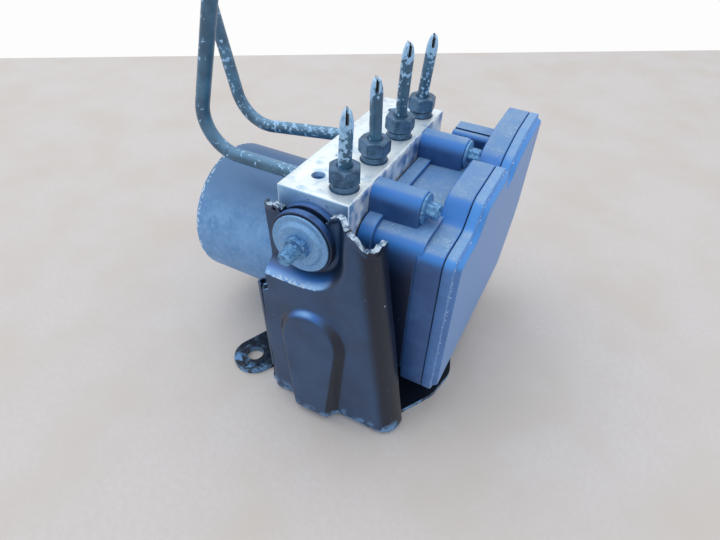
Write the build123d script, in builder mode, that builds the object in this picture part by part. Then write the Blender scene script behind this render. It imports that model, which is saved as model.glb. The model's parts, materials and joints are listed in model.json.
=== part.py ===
"""Anti-lock brake hydraulic unit: valve block, pump motor, control unit and torn mounting bracket.

Millimetres, +Z up. The origin lies on the ground under the middle of the valve block. The motor
hangs off the block towards -X, the control unit is bolted to its +X face, and the bracket stands
in front of it at -Y and runs under it.
"""
import os
from math import cos, pi, radians, sin, tan

from build123d import *

os.makedirs("parts", exist_ok=True)

# ---------------------------------------------------------------- driving dimensions
# hydraulic block
block_x, block_y, block_z = 30.0, 92.0, 92.0
ground_gap = 14.0           # ground to the underside of the block
block_chamfer = 0.6

# tube connections
wheel_pipe_d = 4.8
master_pipe_d = 6.0
pipe_wall = 0.75
port_d = 10.0               # M10 tube nut thread
port_depth = 11.0
nut_flats = 11.0
nut_height = 4.8
nut_collar = 4.1            # round neck of the nut that stands above the block
nut_countersink = 0.7
wheel_port_x = 7.5
wheel_port_pitch = 24.0
master_port_y = 20.0
master_port_drop = 11.9     # port axis below the top of the block
master_nut_height = 4.6

# valves
valve_column_inner, valve_column_outer = 11.0, 31.0
valve_row_low, valve_row_high = 63.0, 81.0
valve_sleeve_d, valve_sleeve_length = 7.2, 16.0
valve_bore_flats, valve_bore_length, valve_end_wall = 4.6, 12.0, 1.2
plunger_length, plunger_travel = 11.4, 0.25
coil_size, coil_length = 15.6, 13.0

# pump and accumulators
motor_z = 50.3
piston_d, piston_length = 7.0, 15.2
eccentric_throw = 0.9
eccentric_ring_d, eccentric_ring_width = 16.0, 9.5
eccentric_d = 10.0
chamber_d, chamber_depth = 19.0, 23.0
pump_bore_d, plug_length, plug_recess = 12.4, 9.5, 0.5
guide_end = 20.0            # where the narrow piston guide opens into the pump bore
accumulator_y, accumulator_d, accumulator_depth = 20.0, 16.0, 24.0
accumulator_piston_length, accumulator_cap_length = 6.0, 3.0
pump_spring_r, pump_spring_wire = 4.0, 1.1
accumulator_spring_r, accumulator_spring_wire = 5.6, 1.4

# motor
can_d, can_length, can_wall, can_rim = 65.6, 61.0, 1.8, 3.0
flange_width, flange_thickness = 1.8, 2.0
shaft_d, nose_d = 7.0, 6.0
bearing_d, bearing_width = 22.0, 7.0
bush_d, bush_length = 14.3, 5.0
magnet_thickness, magnet_length, magnet_arc = 3.9, 38.0, 150.0
air_gap, core_length, core_slots = 1.0, 26.0, 10
slot_depth, slot_width_outer, slot_width_inner, slot_mouth = 9.5, 8.0, 3.6, 1.6
winding_overhang = 6.0
commutator_d, commutator_length = 18.0, 10.0
brush_plate_thickness = 3.0
brush_width, brush_height, brush_length = 5.0, 6.0, 9.9
brush_fold, brush_spring_wire = 1.8, 0.4
contact_post_d, contact_post_z = 5.6, 33.0

# control unit
gasket_thickness = 0.8
neck_length = 23.4          # valve chamber, gasket to main body
neck_front, neck_rear = -41.2, 41.5
neck_bottom, neck_top = 26.0, 94.8
neck_corner, neck_small_corner = 8.0, 3.0
neck_wall = 1.6
chamber_roof = 93.0         # neck_top where the chamber is hollow, so its roof clears the screws
collar_length, collar_step = 5.7, 1.0
body_length = 9.9           # main body, neck to cover seal
body_wall = 2.2
divider = 2.0
cover_rim, cover_raise = 4.0, 2.2
cover_ledge, cover_slope, cover_wall = 1.0, 2.0, 1.8
seal_gap, seal_inset, seal_width = 0.4, 0.8, 1.0
boss_d, boss_front, boss_rear, boss_z = 13.0, -24.5, 23.5, 99.5
low_boss_d, low_boss_z, scallop_d = 11.0, 18.2, 10.4
boss_length = 20.0
screw_d, screw_flange_d, screw_flange, screw_head_d, screw_head = 4.9, 12.0, 1.2, 6.6, 4.4
shroud_rear, shroud_front = 65.8, 50.5
shroud_bottom, shroud_top = 60.0, 95.0
shroud_length, shroud_wall = 19.9, 1.6
pin_size, pin_rows, pins_in_row, pin_pitch, row_pitch = 0.8, 2, 10, 2.2, 4.4
board_thickness, board_standoff = 1.6, 1.8

# bracket and rubber mounts
sheet = 2.3
wall_front = -58.5          # outer face of the upright wall
wall_depth = 10.5
bend_right, bend_left, bend_bottom = 9.0, 3.5, 3.4
stud_drop = 16.2            # front stud axis below the top of the block
pocket_r = 14.3
slot_r = 9.0
fixing_hole_d, ear_r = 8.5, 10.2
ear_collar_d, ear_collar = 13.6, 1.0
rubber_d, rubber_lip, rubber_bore = 25.8, 3.0, 8.4
washer_d, washer_thickness = 23.2, 1.2
stud_d, stud_reach, stud_hex, stud_hex_height = 6.0, 6.8, 8.0, 2.8
seat_height, seat_r = 6.0, 12.0
base_mount_y = 36.0
low_rubber_d, low_rubber_lip, low_rubber_neck = 19.0, 2.8, 6.2

# fits
thread_gap = 0.05           # screw threads and press-in parts, on the radius
sliding_gap = 0.03          # pistons, on the radius
running_gap = 0.05          # shafts in bearings, on the radius
loose_gap = 0.15            # coils over valve sleeves, screws in their bosses

# ---------------------------------------------------------------- derived places
motor_face = -block_x / 2
unit_face = block_x / 2
block_front = -block_y / 2
block_top = ground_gap + block_z
wheel_port_ys = [wheel_port_pitch * (i - 1.5) for i in range(4)]
wheel_ports = [(wheel_port_x, y) for y in wheel_port_ys]
master_port_z = block_top - master_port_drop
valve_ys = [-valve_column_outer, -valve_column_inner, valve_column_inner, valve_column_outer]
valves = [(y, z) for z in (valve_row_low, valve_row_high) for y in valve_ys]
stud_z = block_top - stud_drop
neck_start = unit_face + gasket_thickness
neck_end = neck_start + neck_length
seal_plane = neck_end + body_length
cover_plane = seal_plane + seal_gap
board_x = neck_end + divider + board_standoff
top_bosses = [(boss_front, boss_z), (boss_rear, boss_z)]
low_bosses = [(boss_front, low_boss_z), (boss_rear, low_boss_z)]


def yz(x):
    """Plane across the motor axis at x, seen in (Y, Z)."""
    return Plane.YZ.offset(x)


def xz(y):
    """Upright plane at y, seen in (X, Z), facing the front."""
    return Plane.XZ.offset(-y)


def save(piece, name):
    """Label a finished piece and write it."""
    piece.part.label = name
    export_step(piece.part, f"parts/{name}.step")


# ---------------------------------------------------------------- hydraulic block
can_r = can_d / 2
flange_r = can_r + flange_width
recess_depth = flange_thickness + 0.2
bearing_seat = motor_face + recess_depth
chamber_end = motor_face + chamber_depth
top_hole_x, top_hole_spacing, top_hole_d, top_hole_depth = -4.7, 67.4, 5.4, 10.0
screw_bore_depth, low_screw_depth = 10.0, 6.0
valve_bore_start = unit_face + valve_sleeve_length - valve_end_wall - valve_bore_length

with BuildPart() as hydraulic_block:
    with BuildSketch(Plane.XY.offset(ground_gap)):
        Rectangle(block_x, block_y)
    extrude(amount=block_z)
    chamfer(hydraulic_block.edges(), block_chamfer)
    # wheel ports and the two blind top holes
    with BuildSketch(Plane.XY.offset(block_top)):
        with Locations(*wheel_ports):
            Circle(port_d / 2)
    extrude(amount=-port_depth, mode=Mode.SUBTRACT)
    with BuildSketch(Plane.XY.offset(block_top)):
        with Locations((top_hole_x, -top_hole_spacing / 2), (top_hole_x, top_hole_spacing / 2)):
            Circle(top_hole_d / 2)
    extrude(amount=-top_hole_depth, mode=Mode.SUBTRACT)
    # master cylinder ports, motor recess, bearing seat and eccentric chamber
    with BuildSketch(yz(motor_face)):
        with Locations((-master_port_y, master_port_z), (master_port_y, master_port_z)):
            Circle(port_d / 2)
    extrude(amount=port_depth, mode=Mode.SUBTRACT)
    for radius, depth in (
        (flange_r + running_gap * 4, recess_depth),
        (bearing_d / 2 + thread_gap, recess_depth + bearing_width),
        (chamber_d / 2, chamber_depth),
        (nose_d / 2 + running_gap, block_x / 2 + nose_d * 2 + 0.6),
    ):
        with BuildSketch(yz(motor_face)):
            with Locations((0, motor_z)):
                Circle(radius)
        extrude(amount=depth, mode=Mode.SUBTRACT)
    with BuildSketch(yz(motor_face)):
        with Locations((0, contact_post_z)):
            Circle(contact_post_d / 2 + loose_gap)
    extrude(amount=block_x, mode=Mode.SUBTRACT)
    # valve cartridges, caulked into the block for good: closed eight-sided sleeves with a
    # six-sided bore for the armature
    with BuildSketch(yz(unit_face)):
        with Locations(*valves):
            RegularPolygon(valve_sleeve_d / 2, 8, major_radius=False, rotation=22.5)
    extrude(amount=valve_sleeve_length)
    with BuildSketch(yz(valve_bore_start)):
        with Locations(*valves):
            RegularPolygon(valve_bore_flats / 2, 6, major_radius=False)
    extrude(amount=valve_bore_length, mode=Mode.SUBTRACT)
    # control unit screws
    for places, depth in ((top_bosses, screw_bore_depth), (low_bosses, low_screw_depth)):
        with BuildSketch(yz(unit_face)):
            with Locations(*places):
                Circle(screw_d / 2 + thread_gap)
        extrude(amount=-depth, mode=Mode.SUBTRACT)
    # pump bore through from front to rear, narrow in the middle
    with BuildSketch(xz(0)):
        with Locations((0, motor_z)):
            Circle(piston_d / 2 + sliding_gap)
    extrude(amount=guide_end, both=True, mode=Mode.SUBTRACT)
    for side in (-1, 1):
        with BuildSketch(xz(side * guide_end)):
            with Locations((0, motor_z)):
                Circle(pump_bore_d / 2)
        extrude(amount=-side * (block_y / 2 - guide_end), mode=Mode.SUBTRACT)
    # accumulators and rubber mount holes
    with BuildSketch(Plane.XY.offset(ground_gap)):
        with Locations((0, -accumulator_y), (0, accumulator_y)):
            Circle(accumulator_d / 2)
    extrude(amount=accumulator_depth, mode=Mode.SUBTRACT)
    with BuildSketch(Plane.XY.offset(ground_gap)):
        with Locations((0, -base_mount_y), (0, base_mount_y)):
            Circle(stud_d / 2 + thread_gap)
    extrude(amount=screw_bore_depth + 0.5, mode=Mode.SUBTRACT)
    with BuildSketch(xz(block_front)):
        with Locations((0, stud_z)):
            Circle(stud_d / 2 + thread_gap)
    extrude(amount=-(screw_bore_depth + 0.5), mode=Mode.SUBTRACT)
save(hydraulic_block, "hydraulic_block")


# ---------------------------------------------------------------- tube nuts and pipes
nut_bore_d = wheel_pipe_d + 2 * loose_gap
nut_thread_reach = port_depth - 1.5
first_nut_turn, other_nut_turn = -62.0, -32.0    # a corner, then a flat, to the front right
pipe_tips = [29.0, 31.5, 37.4, 34.6]             # above the top of the block
pipe_leans = [0.6, -0.6, 0.9, 2.0]               # how far each tip has been bent towards +X
pinch_turns = [-62.0, -58.0, -56.0, -70.0]
pinch_length, pinch_lip, slit_width, slit_depth = 6.0, 1.9, 0.6, 3.3

with BuildPart() as wheel_tube_nuts:
    with BuildSketch(Plane.XY.offset(block_top - nut_thread_reach)):
        with Locations(*wheel_ports):
            Circle(port_d / 2 - thread_gap)
    extrude(amount=nut_thread_reach + nut_collar)
    for i, place in enumerate(wheel_ports):
        with BuildSketch(Plane.XY.offset(block_top + nut_collar)):
            with Locations(place):
                RegularPolygon(nut_flats / 2, 6, major_radius=False,
                               rotation=other_nut_turn if i else first_nut_turn)
        extrude(amount=nut_height)
    with BuildSketch(Plane.XY.offset(block_top - nut_thread_reach)):
        with Locations(*wheel_ports):
            Circle(nut_bore_d / 2)
    extrude(amount=port_depth + nut_collar + nut_height, mode=Mode.SUBTRACT)
    chamfer(wheel_tube_nuts.edges().filter_by(GeomType.CIRCLE).group_by(Axis.Z)[-1], nut_countersink)
save(wheel_tube_nuts, "wheel_tube_nuts")

for i, (x, y) in enumerate(wheel_ports):
    pipe_start = block_top - port_depth
    bend = block_top + nut_collar + nut_height + 1.0
    tip = Vector(x + pipe_leans[i], y, block_top + pipe_tips[i])
    run = (tip - Vector(x, y, bend)).normalized()
    crimp = Plane(origin=tip, x_dir=(cos(radians(pinch_turns[i])), sin(radians(pinch_turns[i])), 0),
                  z_dir=run)
    with BuildPart() as wheel_pipe:
        with BuildLine():
            Polyline((x, y, pipe_start), (x, y, bend), tip)
        with BuildSketch(Plane.XY.offset(pipe_start)):
            with Locations((x, y)):
                Circle(wheel_pipe_d / 2)
        sweep(transition=Transition.RIGHT)
        # the cut end is nipped flat from both sides, with a slit left in its mouth
        for side in (-1, 1):
            with BuildSketch(Plane(origin=crimp.origin, x_dir=crimp.y_dir, z_dir=crimp.x_dir)):
                with BuildLine():
                    Polyline((side * pinch_lip / 2, 0.5), (side * pinch_lip / 2, -1.0),
                             (side * wheel_pipe_d / 2, -pinch_length), (side * wheel_pipe_d, 0.5),
                             close=True)
                make_face()
            extrude(amount=wheel_pipe_d, both=True, mode=Mode.SUBTRACT)
        with BuildSketch(crimp):
            Rectangle(2 * wheel_pipe_d, slit_width)
        extrude(amount=-slit_depth, mode=Mode.SUBTRACT)
    save(wheel_pipe, f"wheel_pipe_{i + 1}")

with BuildPart() as master_tube_nuts:
    for side in (-1, 1):
        with BuildSketch(yz(motor_face + nut_thread_reach)):
            with Locations((side * master_port_y, master_port_z)):
                Circle(port_d / 2 - thread_gap)
        extrude(amount=-nut_thread_reach)
        with BuildSketch(yz(motor_face)):
            with Locations((side * master_port_y, master_port_z)):
                RegularPolygon(nut_flats / 2, 6, major_radius=False)
        extrude(amount=-master_nut_height)
        with BuildSketch(yz(motor_face + nut_thread_reach)):
            with Locations((side * master_port_y, master_port_z)):
                Circle(master_pipe_d / 2 + loose_gap)
        extrude(amount=-(port_depth + master_nut_height), mode=Mode.SUBTRACT)
save(master_tube_nuts, "master_tube_nuts")

# name, port side, outward reach and drop of the long run, bend radius, lean of the riser, its top
master_pipes = (
    ("front_master_pipe", -1, 59.9, 0.0, 15.8, 0.29, 168.0),
    ("rear_master_pipe", 1, 65.0, 7.4, 18.0, -0.235, 161.0),
)
straight_start = 8.0        # how far past the nut a sinking run stays level
for name, side, reach, drop, radius, lean, rise_top in master_pipes:
    port = (motor_face + port_depth, side * master_port_y, master_port_z)
    corner_x = motor_face - reach
    rise = rise_top - (master_port_z - drop)
    corner = (corner_x, port[1], master_port_z - drop)
    top = (corner_x + lean * rise, port[1], rise_top)
    with BuildPart() as master_pipe:
        with BuildLine():
            if drop:
                FilletPolyline(port, (motor_face - master_nut_height - straight_start, port[1], port[2]),
                               corner, top, radius=radius)
            else:
                FilletPolyline(port, corner, top, radius=radius)
        with BuildSketch(yz(port[0])):
            with Locations(port[1:]):
                Circle(master_pipe_d / 2)
        sweep()
        # nipped end
        riser = Vector(lean, 0, 1).normalized()
        mouth = Plane(origin=top, x_dir=(1, 0, -lean), z_dir=riser)
        for face_side in (-1, 1):
            with BuildSketch(Plane(origin=mouth.origin, x_dir=mouth.y_dir, z_dir=mouth.x_dir)):
                with BuildLine():
                    Polyline((face_side * pinch_lip / 2, 0.5), (face_side * pinch_lip / 2, -1.0),
                             (face_side * master_pipe_d / 2, -pinch_length),
                             (face_side * master_pipe_d, 0.5), close=True)
                make_face()
            extrude(amount=master_pipe_d, both=True, mode=Mode.SUBTRACT)
    save(master_pipe, name)

# ---------------------------------------------------------------- valve armatures and coils
armature_flats = valve_bore_flats - 2 * running_gap
for i, place in enumerate(valves):
    with BuildPart() as valve_armature:
        with BuildSketch(yz(valve_bore_start + 0.15)):
            with Locations(place):
                RegularPolygon(armature_flats / 2, 6, major_radius=False)
        extrude(amount=plunger_length)
    save(valve_armature, f"valve_armature_{i + 1}")

coil_start = neck_start + 1.7
coil_pin, coil_pin_spread = 0.8, 5.0
with BuildPart() as valve_coils:
    with BuildSketch(yz(coil_start)):
        with Locations(*valves):
            Rectangle(coil_size, coil_size)
    extrude(amount=coil_length)
    chamfer(valve_coils.edges().filter_by(Axis.X), 2.0)
    with BuildSketch(yz(coil_start)):
        with Locations(*valves):
            RegularPolygon(valve_sleeve_d / 2 + loose_gap, 8, major_radius=False, rotation=22.5)
    extrude(amount=coil_length, mode=Mode.SUBTRACT)
    with BuildSketch(yz(coil_start + coil_length)):
        for y, z in valves:
            with Locations((y - coil_pin_spread, z), (y + coil_pin_spread, z)):
                Rectangle(coil_pin, coil_pin)
    extrude(amount=board_x - coil_start - coil_length)
save(valve_coils, "valve_coils")

# ---------------------------------------------------------------- pump
piston_start = eccentric_ring_d / 2 + eccentric_throw + 0.3
piston_end = piston_start + piston_length
spring_gap = 0.15           # so a spring's square ends clear their seats
plug_end = block_y / 2 - plug_recess
plug_start = plug_end - plug_length


def coil_spring(radius, wire, length, turns, sides=8):
    """A spring of square wire along +Z, bent as a polygon of a few sides a turn."""
    steps = int(turns * sides)
    points = [(radius * cos(2 * pi * n / sides), radius * sin(2 * pi * n / sides),
               wire / 2 + (length - wire) * n / steps) for n in range(steps + 1)]
    with BuildPart() as spring:
        with BuildLine():
            Polyline(*points)
        tangent = Vector(*points[1]) - Vector(*points[0])
        with BuildSketch(Plane(origin=points[0], x_dir=(1, 0, 0), z_dir=tangent)):
            Rectangle(wire, wire)
        sweep(transition=Transition.RIGHT)
    return spring.part


for name, side in (("front", -1), ("rear", 1)):
    with BuildPart() as pump_piston:
        with BuildSketch(xz(side * piston_start)):
            with Locations((0, motor_z)):
                Circle(piston_d / 2)
        extrude(amount=-side * piston_length)
    save(pump_piston, f"pump_piston_{name}")
    pump_spring_solid = coil_spring(pump_spring_r, pump_spring_wire,
                                    plug_start - piston_end - 2 * spring_gap, 3)
    with BuildPart() as pump_spring:
        add(Plane(origin=(0, side * (piston_end + spring_gap), motor_z), x_dir=(1, 0, 0),
                  z_dir=(0, side, 0))
            * pump_spring_solid)
    save(pump_spring, f"pump_spring_{name}")

with BuildPart() as pump_plugs:
    for side in (-1, 1):
        with BuildSketch(xz(side * plug_start)):
            with Locations((0, motor_z)):
                Circle(pump_bore_d / 2 - thread_gap)
        extrude(amount=-side * plug_length)
    with BuildSketch(xz(-plug_end)):
        with Locations((0, motor_z)):
            RegularPolygon(3.0, 6, major_radius=False)
    extrude(amount=-3.0, mode=Mode.SUBTRACT)
    with BuildSketch(xz(plug_end)):
        with Locations((0, motor_z)):
            RegularPolygon(3.0, 6, major_radius=False)
    extrude(amount=3.0, mode=Mode.SUBTRACT)
save(pump_plugs, "pump_plugs")

# ---------------------------------------------------------------- low pressure accumulators
accumulator_roof = ground_gap + accumulator_depth
accumulator_floor = ground_gap + 0.5 + accumulator_cap_length
accumulator_piston_top = accumulator_roof - 0.3
for name, side in (("front", -1), ("rear", 1)):
    with BuildPart() as accumulator_piston:
        with BuildSketch(Plane.XY.offset(accumulator_piston_top)):
            with Locations((0, side * accumulator_y)):
                Circle(accumulator_d / 2 - sliding_gap)
        extrude(amount=-accumulator_piston_length)
    save(accumulator_piston, f"accumulator_piston_{name}")
    accumulator_spring_solid = coil_spring(
        accumulator_spring_r, accumulator_spring_wire, accumulator_piston_top - accumulator_piston_length - accumulator_floor
        - 2 * spring_gap, 3)
    with BuildPart() as accumulator_spring:
        add(Plane(origin=(0, side * accumulator_y, accumulator_floor + spring_gap))
            * accumulator_spring_solid)
    save(accumulator_spring, f"accumulator_spring_{name}")

with BuildPart() as accumulator_caps:
    with BuildSketch(Plane.XY.offset(ground_gap + 0.5)):
        with Locations((0, -accumulator_y), (0, accumulator_y)):
            Circle(accumulator_d / 2 - thread_gap)
    extrude(amount=accumulator_cap_length)
save(accumulator_caps, "accumulator_caps")

# ---------------------------------------------------------------- motor: still parts
can_open = bearing_seat
can_end = motor_face - can_length
hub_r, hub_step = 9.0, 3.0
magnet_end = can_open - 15.2
brush_plate_start = motor_face - 1.0


def tube(x, length, outer, inner, centre_z=motor_z, mode=Mode.ADD):
    """Faces of a ring across the motor axis; length runs towards -X from x."""
    with BuildSketch(yz(x), mode=Mode.PRIVATE) as ring:
        with Locations((0, centre_z)):
            Circle(outer)
            if inner:
                Circle(inner, mode=Mode.SUBTRACT)
    return extrude(ring.sketch, amount=-length, mode=mode)


with BuildPart() as motor_can:
    with BuildSketch(Plane.XY.offset(motor_z)):
        with BuildLine():
            Polyline((can_open, can_r - can_wall), (can_open, flange_r),
                     (can_open - flange_thickness, flange_r), (can_open - flange_thickness, can_r),
                     (can_end + can_rim, can_r), (can_end, can_r - can_rim), (can_end, hub_r),
                     (can_end - hub_step, hub_r),
                     (can_end - hub_step, 0), (can_end - hub_step + can_wall, 0),
                     (can_end - hub_step + can_wall, bush_d / 2 + thread_gap),
                     (can_end + can_wall, bush_d / 2 + thread_gap),
                     (can_end + can_wall, can_r - can_wall), close=True)
        make_face()
    revolve(axis=Axis((0, 0, motor_z), (1, 0, 0)))
save(motor_can, "motor_can")

with BuildPart() as motor_magnets:
    for turn in (0, 180):
        with BuildSketch(yz(magnet_end)):
            with BuildLine():
                outer = CenterArc((0, motor_z), can_r - can_wall - 0.1, turn - magnet_arc / 2,
                                  magnet_arc)
                inner = CenterArc((0, motor_z), can_r - can_wall - magnet_thickness,
                                  turn - magnet_arc / 2, magnet_arc)
                Line(outer @ 0, inner @ 0)
                Line(outer @ 1, inner @ 1)
            make_face()
        extrude(amount=-magnet_length)
save(motor_magnets, "motor_magnets")

with BuildPart() as rear_bearing_bush:
    tube(can_end - hub_step + can_wall + 0.1 + bush_length, bush_length, bush_d / 2,
         shaft_d / 2 + running_gap)
save(rear_bearing_bush, "rear_bearing_bush")

with BuildPart() as front_bearing:
    tube(bearing_seat + bearing_width, bearing_width, bearing_d / 2, shaft_d / 2 + running_gap)
save(front_bearing, "front_bearing")

brush_reach = commutator_d / 2 + 0.1
box_start, box_end = 11.0, 26.0
box_wall = 1.0
with BuildPart() as brush_plate:
    tube(brush_plate_start, brush_plate_thickness, can_r - can_wall - 0.1, 12.5)
    with BuildSketch(yz(brush_plate_start - brush_plate_thickness)):
        for side in (-1, 1):
            with Locations((side * (box_start + box_end) / 2, motor_z)):
                Rectangle(box_end - box_start, brush_height + 0.2 + 2 * box_wall)
                Rectangle(box_end - box_start, brush_height + 0.2, mode=Mode.SUBTRACT)
    extrude(amount=-(brush_width + 1.0 + box_wall))
    with BuildSketch(yz(brush_plate_start - brush_plate_thickness - brush_width - 1.0)):
        for side in (-1, 1):
            with Locations((side * (box_start + box_end) / 2, motor_z)):
                Rectangle(box_end - box_start, brush_height + 0.2)
    extrude(amount=-box_wall)
save(brush_plate, "brush_plate")

brush_x = brush_plate_start - brush_plate_thickness - 0.5
with BuildPart() as motor_brushes:
    with BuildSketch(yz(brush_x)):
        for side in (-1, 1):
            with Locations((side * (brush_reach + brush_length / 2), motor_z)):
                Rectangle(brush_length, brush_height)
    extrude(amount=-brush_width)
save(motor_brushes, "motor_brushes")

with BuildPart() as brush_springs:
    for side in (-1, 1):
        with BuildSketch(Plane.XY.offset(motor_z - brush_height / 4)):
            with BuildLine():
                start = side * (brush_reach + brush_length + loose_gap * 2)
                near, far = brush_x - brush_width / 10, brush_x - brush_width * 0.9
                Polyline((near, start), (far, start + side * brush_fold),
                         (near, start + side * 2 * brush_fold), (far, start + side * 3 * brush_fold))
            trace(line_width=brush_spring_wire)
        extrude(amount=brush_height / 2)
save(brush_springs, "brush_springs")

with BuildPart() as motor_contact:
    with BuildSketch(yz(brush_plate_start)):
        with Locations((0, contact_post_z)):
            Circle(contact_post_d / 2)
    extrude(amount=board_x - brush_plate_start)
save(motor_contact, "motor_contact")

# ---------------------------------------------------------------- motor: turning parts
core_end = magnet_end - (magnet_length - core_length) / 2
eccentric_start = chamber_end - 2.5
with BuildPart() as rotor_shaft:
    tube(bearing_seat + bearing_width, bearing_seat + bearing_width - can_end + 0.5, shaft_d / 2, 0)
    tube(eccentric_start, eccentric_start - bearing_seat - bearing_width - 0.8, eccentric_d / 2, 0,
         motor_z + eccentric_throw)
    tube(unit_face - 3.0, unit_face - 3.0 - bearing_seat - bearing_width, nose_d / 2, 0)
save(rotor_shaft, "rotor_shaft")

with BuildPart() as eccentric_ring:
    tube(eccentric_start - 0.5, eccentric_ring_width, eccentric_ring_d / 2, eccentric_d / 2 + running_gap,
         motor_z + eccentric_throw)
save(eccentric_ring, "eccentric_ring")

core_d = can_d - 2 * (can_wall + magnet_thickness + air_gap)
slot_turn = 360 / core_slots
slot_top = core_d / 2 - 1.6
with BuildPart() as armature_core:
    tube(core_end, core_length, core_d / 2, shaft_d / 2)
    with BuildSketch(yz(core_end)):
        with Locations((0, motor_z)):
            with PolarLocations(0, core_slots):
                with Locations((slot_top - slot_depth / 2, 0)):
                    Trapezoid(slot_width_outer, slot_depth, 77, rotation=90)
                with Locations((core_d / 2, 0)):
                    Rectangle(4.0, slot_mouth)
    extrude(amount=-core_length, mode=Mode.SUBTRACT)
save(armature_core, "armature_core")

with BuildPart() as armature_windings:
    with BuildSketch(yz(core_end)):
        with Locations((0, motor_z)):
            with PolarLocations(0, core_slots):
                with Locations((slot_top - slot_depth / 2, 0)):
                    Trapezoid(slot_width_outer - 0.4, slot_depth - 0.4, 77, rotation=90)
    extrude(amount=-core_length)
    for x, way in ((core_end, 1), (core_end - core_length, -1)):
        with BuildSketch(yz(x)):
            with Locations((0, motor_z)):
                RegularPolygon(slot_top - 0.2, core_slots, rotation=slot_turn / 2)
                RegularPolygon(commutator_d / 2 + 0.3, core_slots, major_radius=False,
                               rotation=slot_turn / 2, mode=Mode.SUBTRACT)
        extrude(amount=way * winding_overhang)
save(armature_windings, "armature_windings")

with BuildPart() as commutator:
    tube(core_end + winding_overhang + commutator_length, winding_overhang + commutator_length,
         commutator_d / 2, shaft_d / 2)
save(commutator, "commutator")

# ---------------------------------------------------------------- control unit
# main body and cover outline in (Y, Z), with the radius of each corner
body_corners = (
    ((neck_front, 19.6), 3.5), ((neck_front, 92.2), 5.0), ((-21.0, 92.2), 4.0), ((-12.5, 101.4), 4.0),
    ((19.0, 101.4), 4.0), ((19.0, 94.0), 1.0), ((25.5, 94.0), 4.0), ((31.5, 98.6), 12.0),
    ((41.0, 101.0), 30.0), ((52.0, 102.8), 30.0), ((78.5, 102.8), 4.5), ((78.5, 48.0), 4.0),
    ((58.0, 19.6), 4.0),
)
scallop_wall = body_wall + 0.4

with BuildSketch() as body_outline:
    with BuildLine():
        FilletPolyline(*[point for point, _ in body_corners], radius=[r for _, r in body_corners],
                       close=True)
    make_face()


def body_section(x, inset, scallop):
    """Face of the main body's outline at x, drawn in by inset, with the screw scallops cut out."""
    with BuildSketch(yz(x)) as section:
        add(body_outline.sketch)
        if inset:
            offset(amount=-inset)
        with Locations(*low_bosses):
            Circle(scallop / 2, mode=Mode.SUBTRACT)
    return section


def rounded_box(front, rear, bottom, top, corner, small_corner):
    """Points and radii of the valve chamber's section, widest at the front top."""
    return ((front, bottom), (front, top), (rear, top), (rear, bottom)), \
        (small_corner, corner, small_corner, small_corner)


def chamber_section(x, grow, top=neck_top):
    """Face of the valve chamber's section at x, grown all round."""
    points, radii = rounded_box(neck_front - grow, neck_rear + grow, neck_bottom - grow,
                                top + grow, neck_corner, neck_small_corner)
    with BuildSketch(yz(x)) as section:
        with BuildLine():
            FilletPolyline(*points, radius=radii, close=True)
        make_face()
    return section


pin_ys = [shroud_front + (shroud_rear - shroud_front) / 2 + row_pitch * (r - 0.5)
          for r in range(pin_rows)]
pin_zs = [shroud_bottom + 6.0 + pin_pitch * i for i in range(pins_in_row)]
connector_pins_at = [(y, z) for y in pin_ys for z in pin_zs]
power_pins_at = [(y, shroud_top - 5.0) for y in pin_ys]
power_pin_size = 2.4
shroud_x = neck_end - shroud_length

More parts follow.
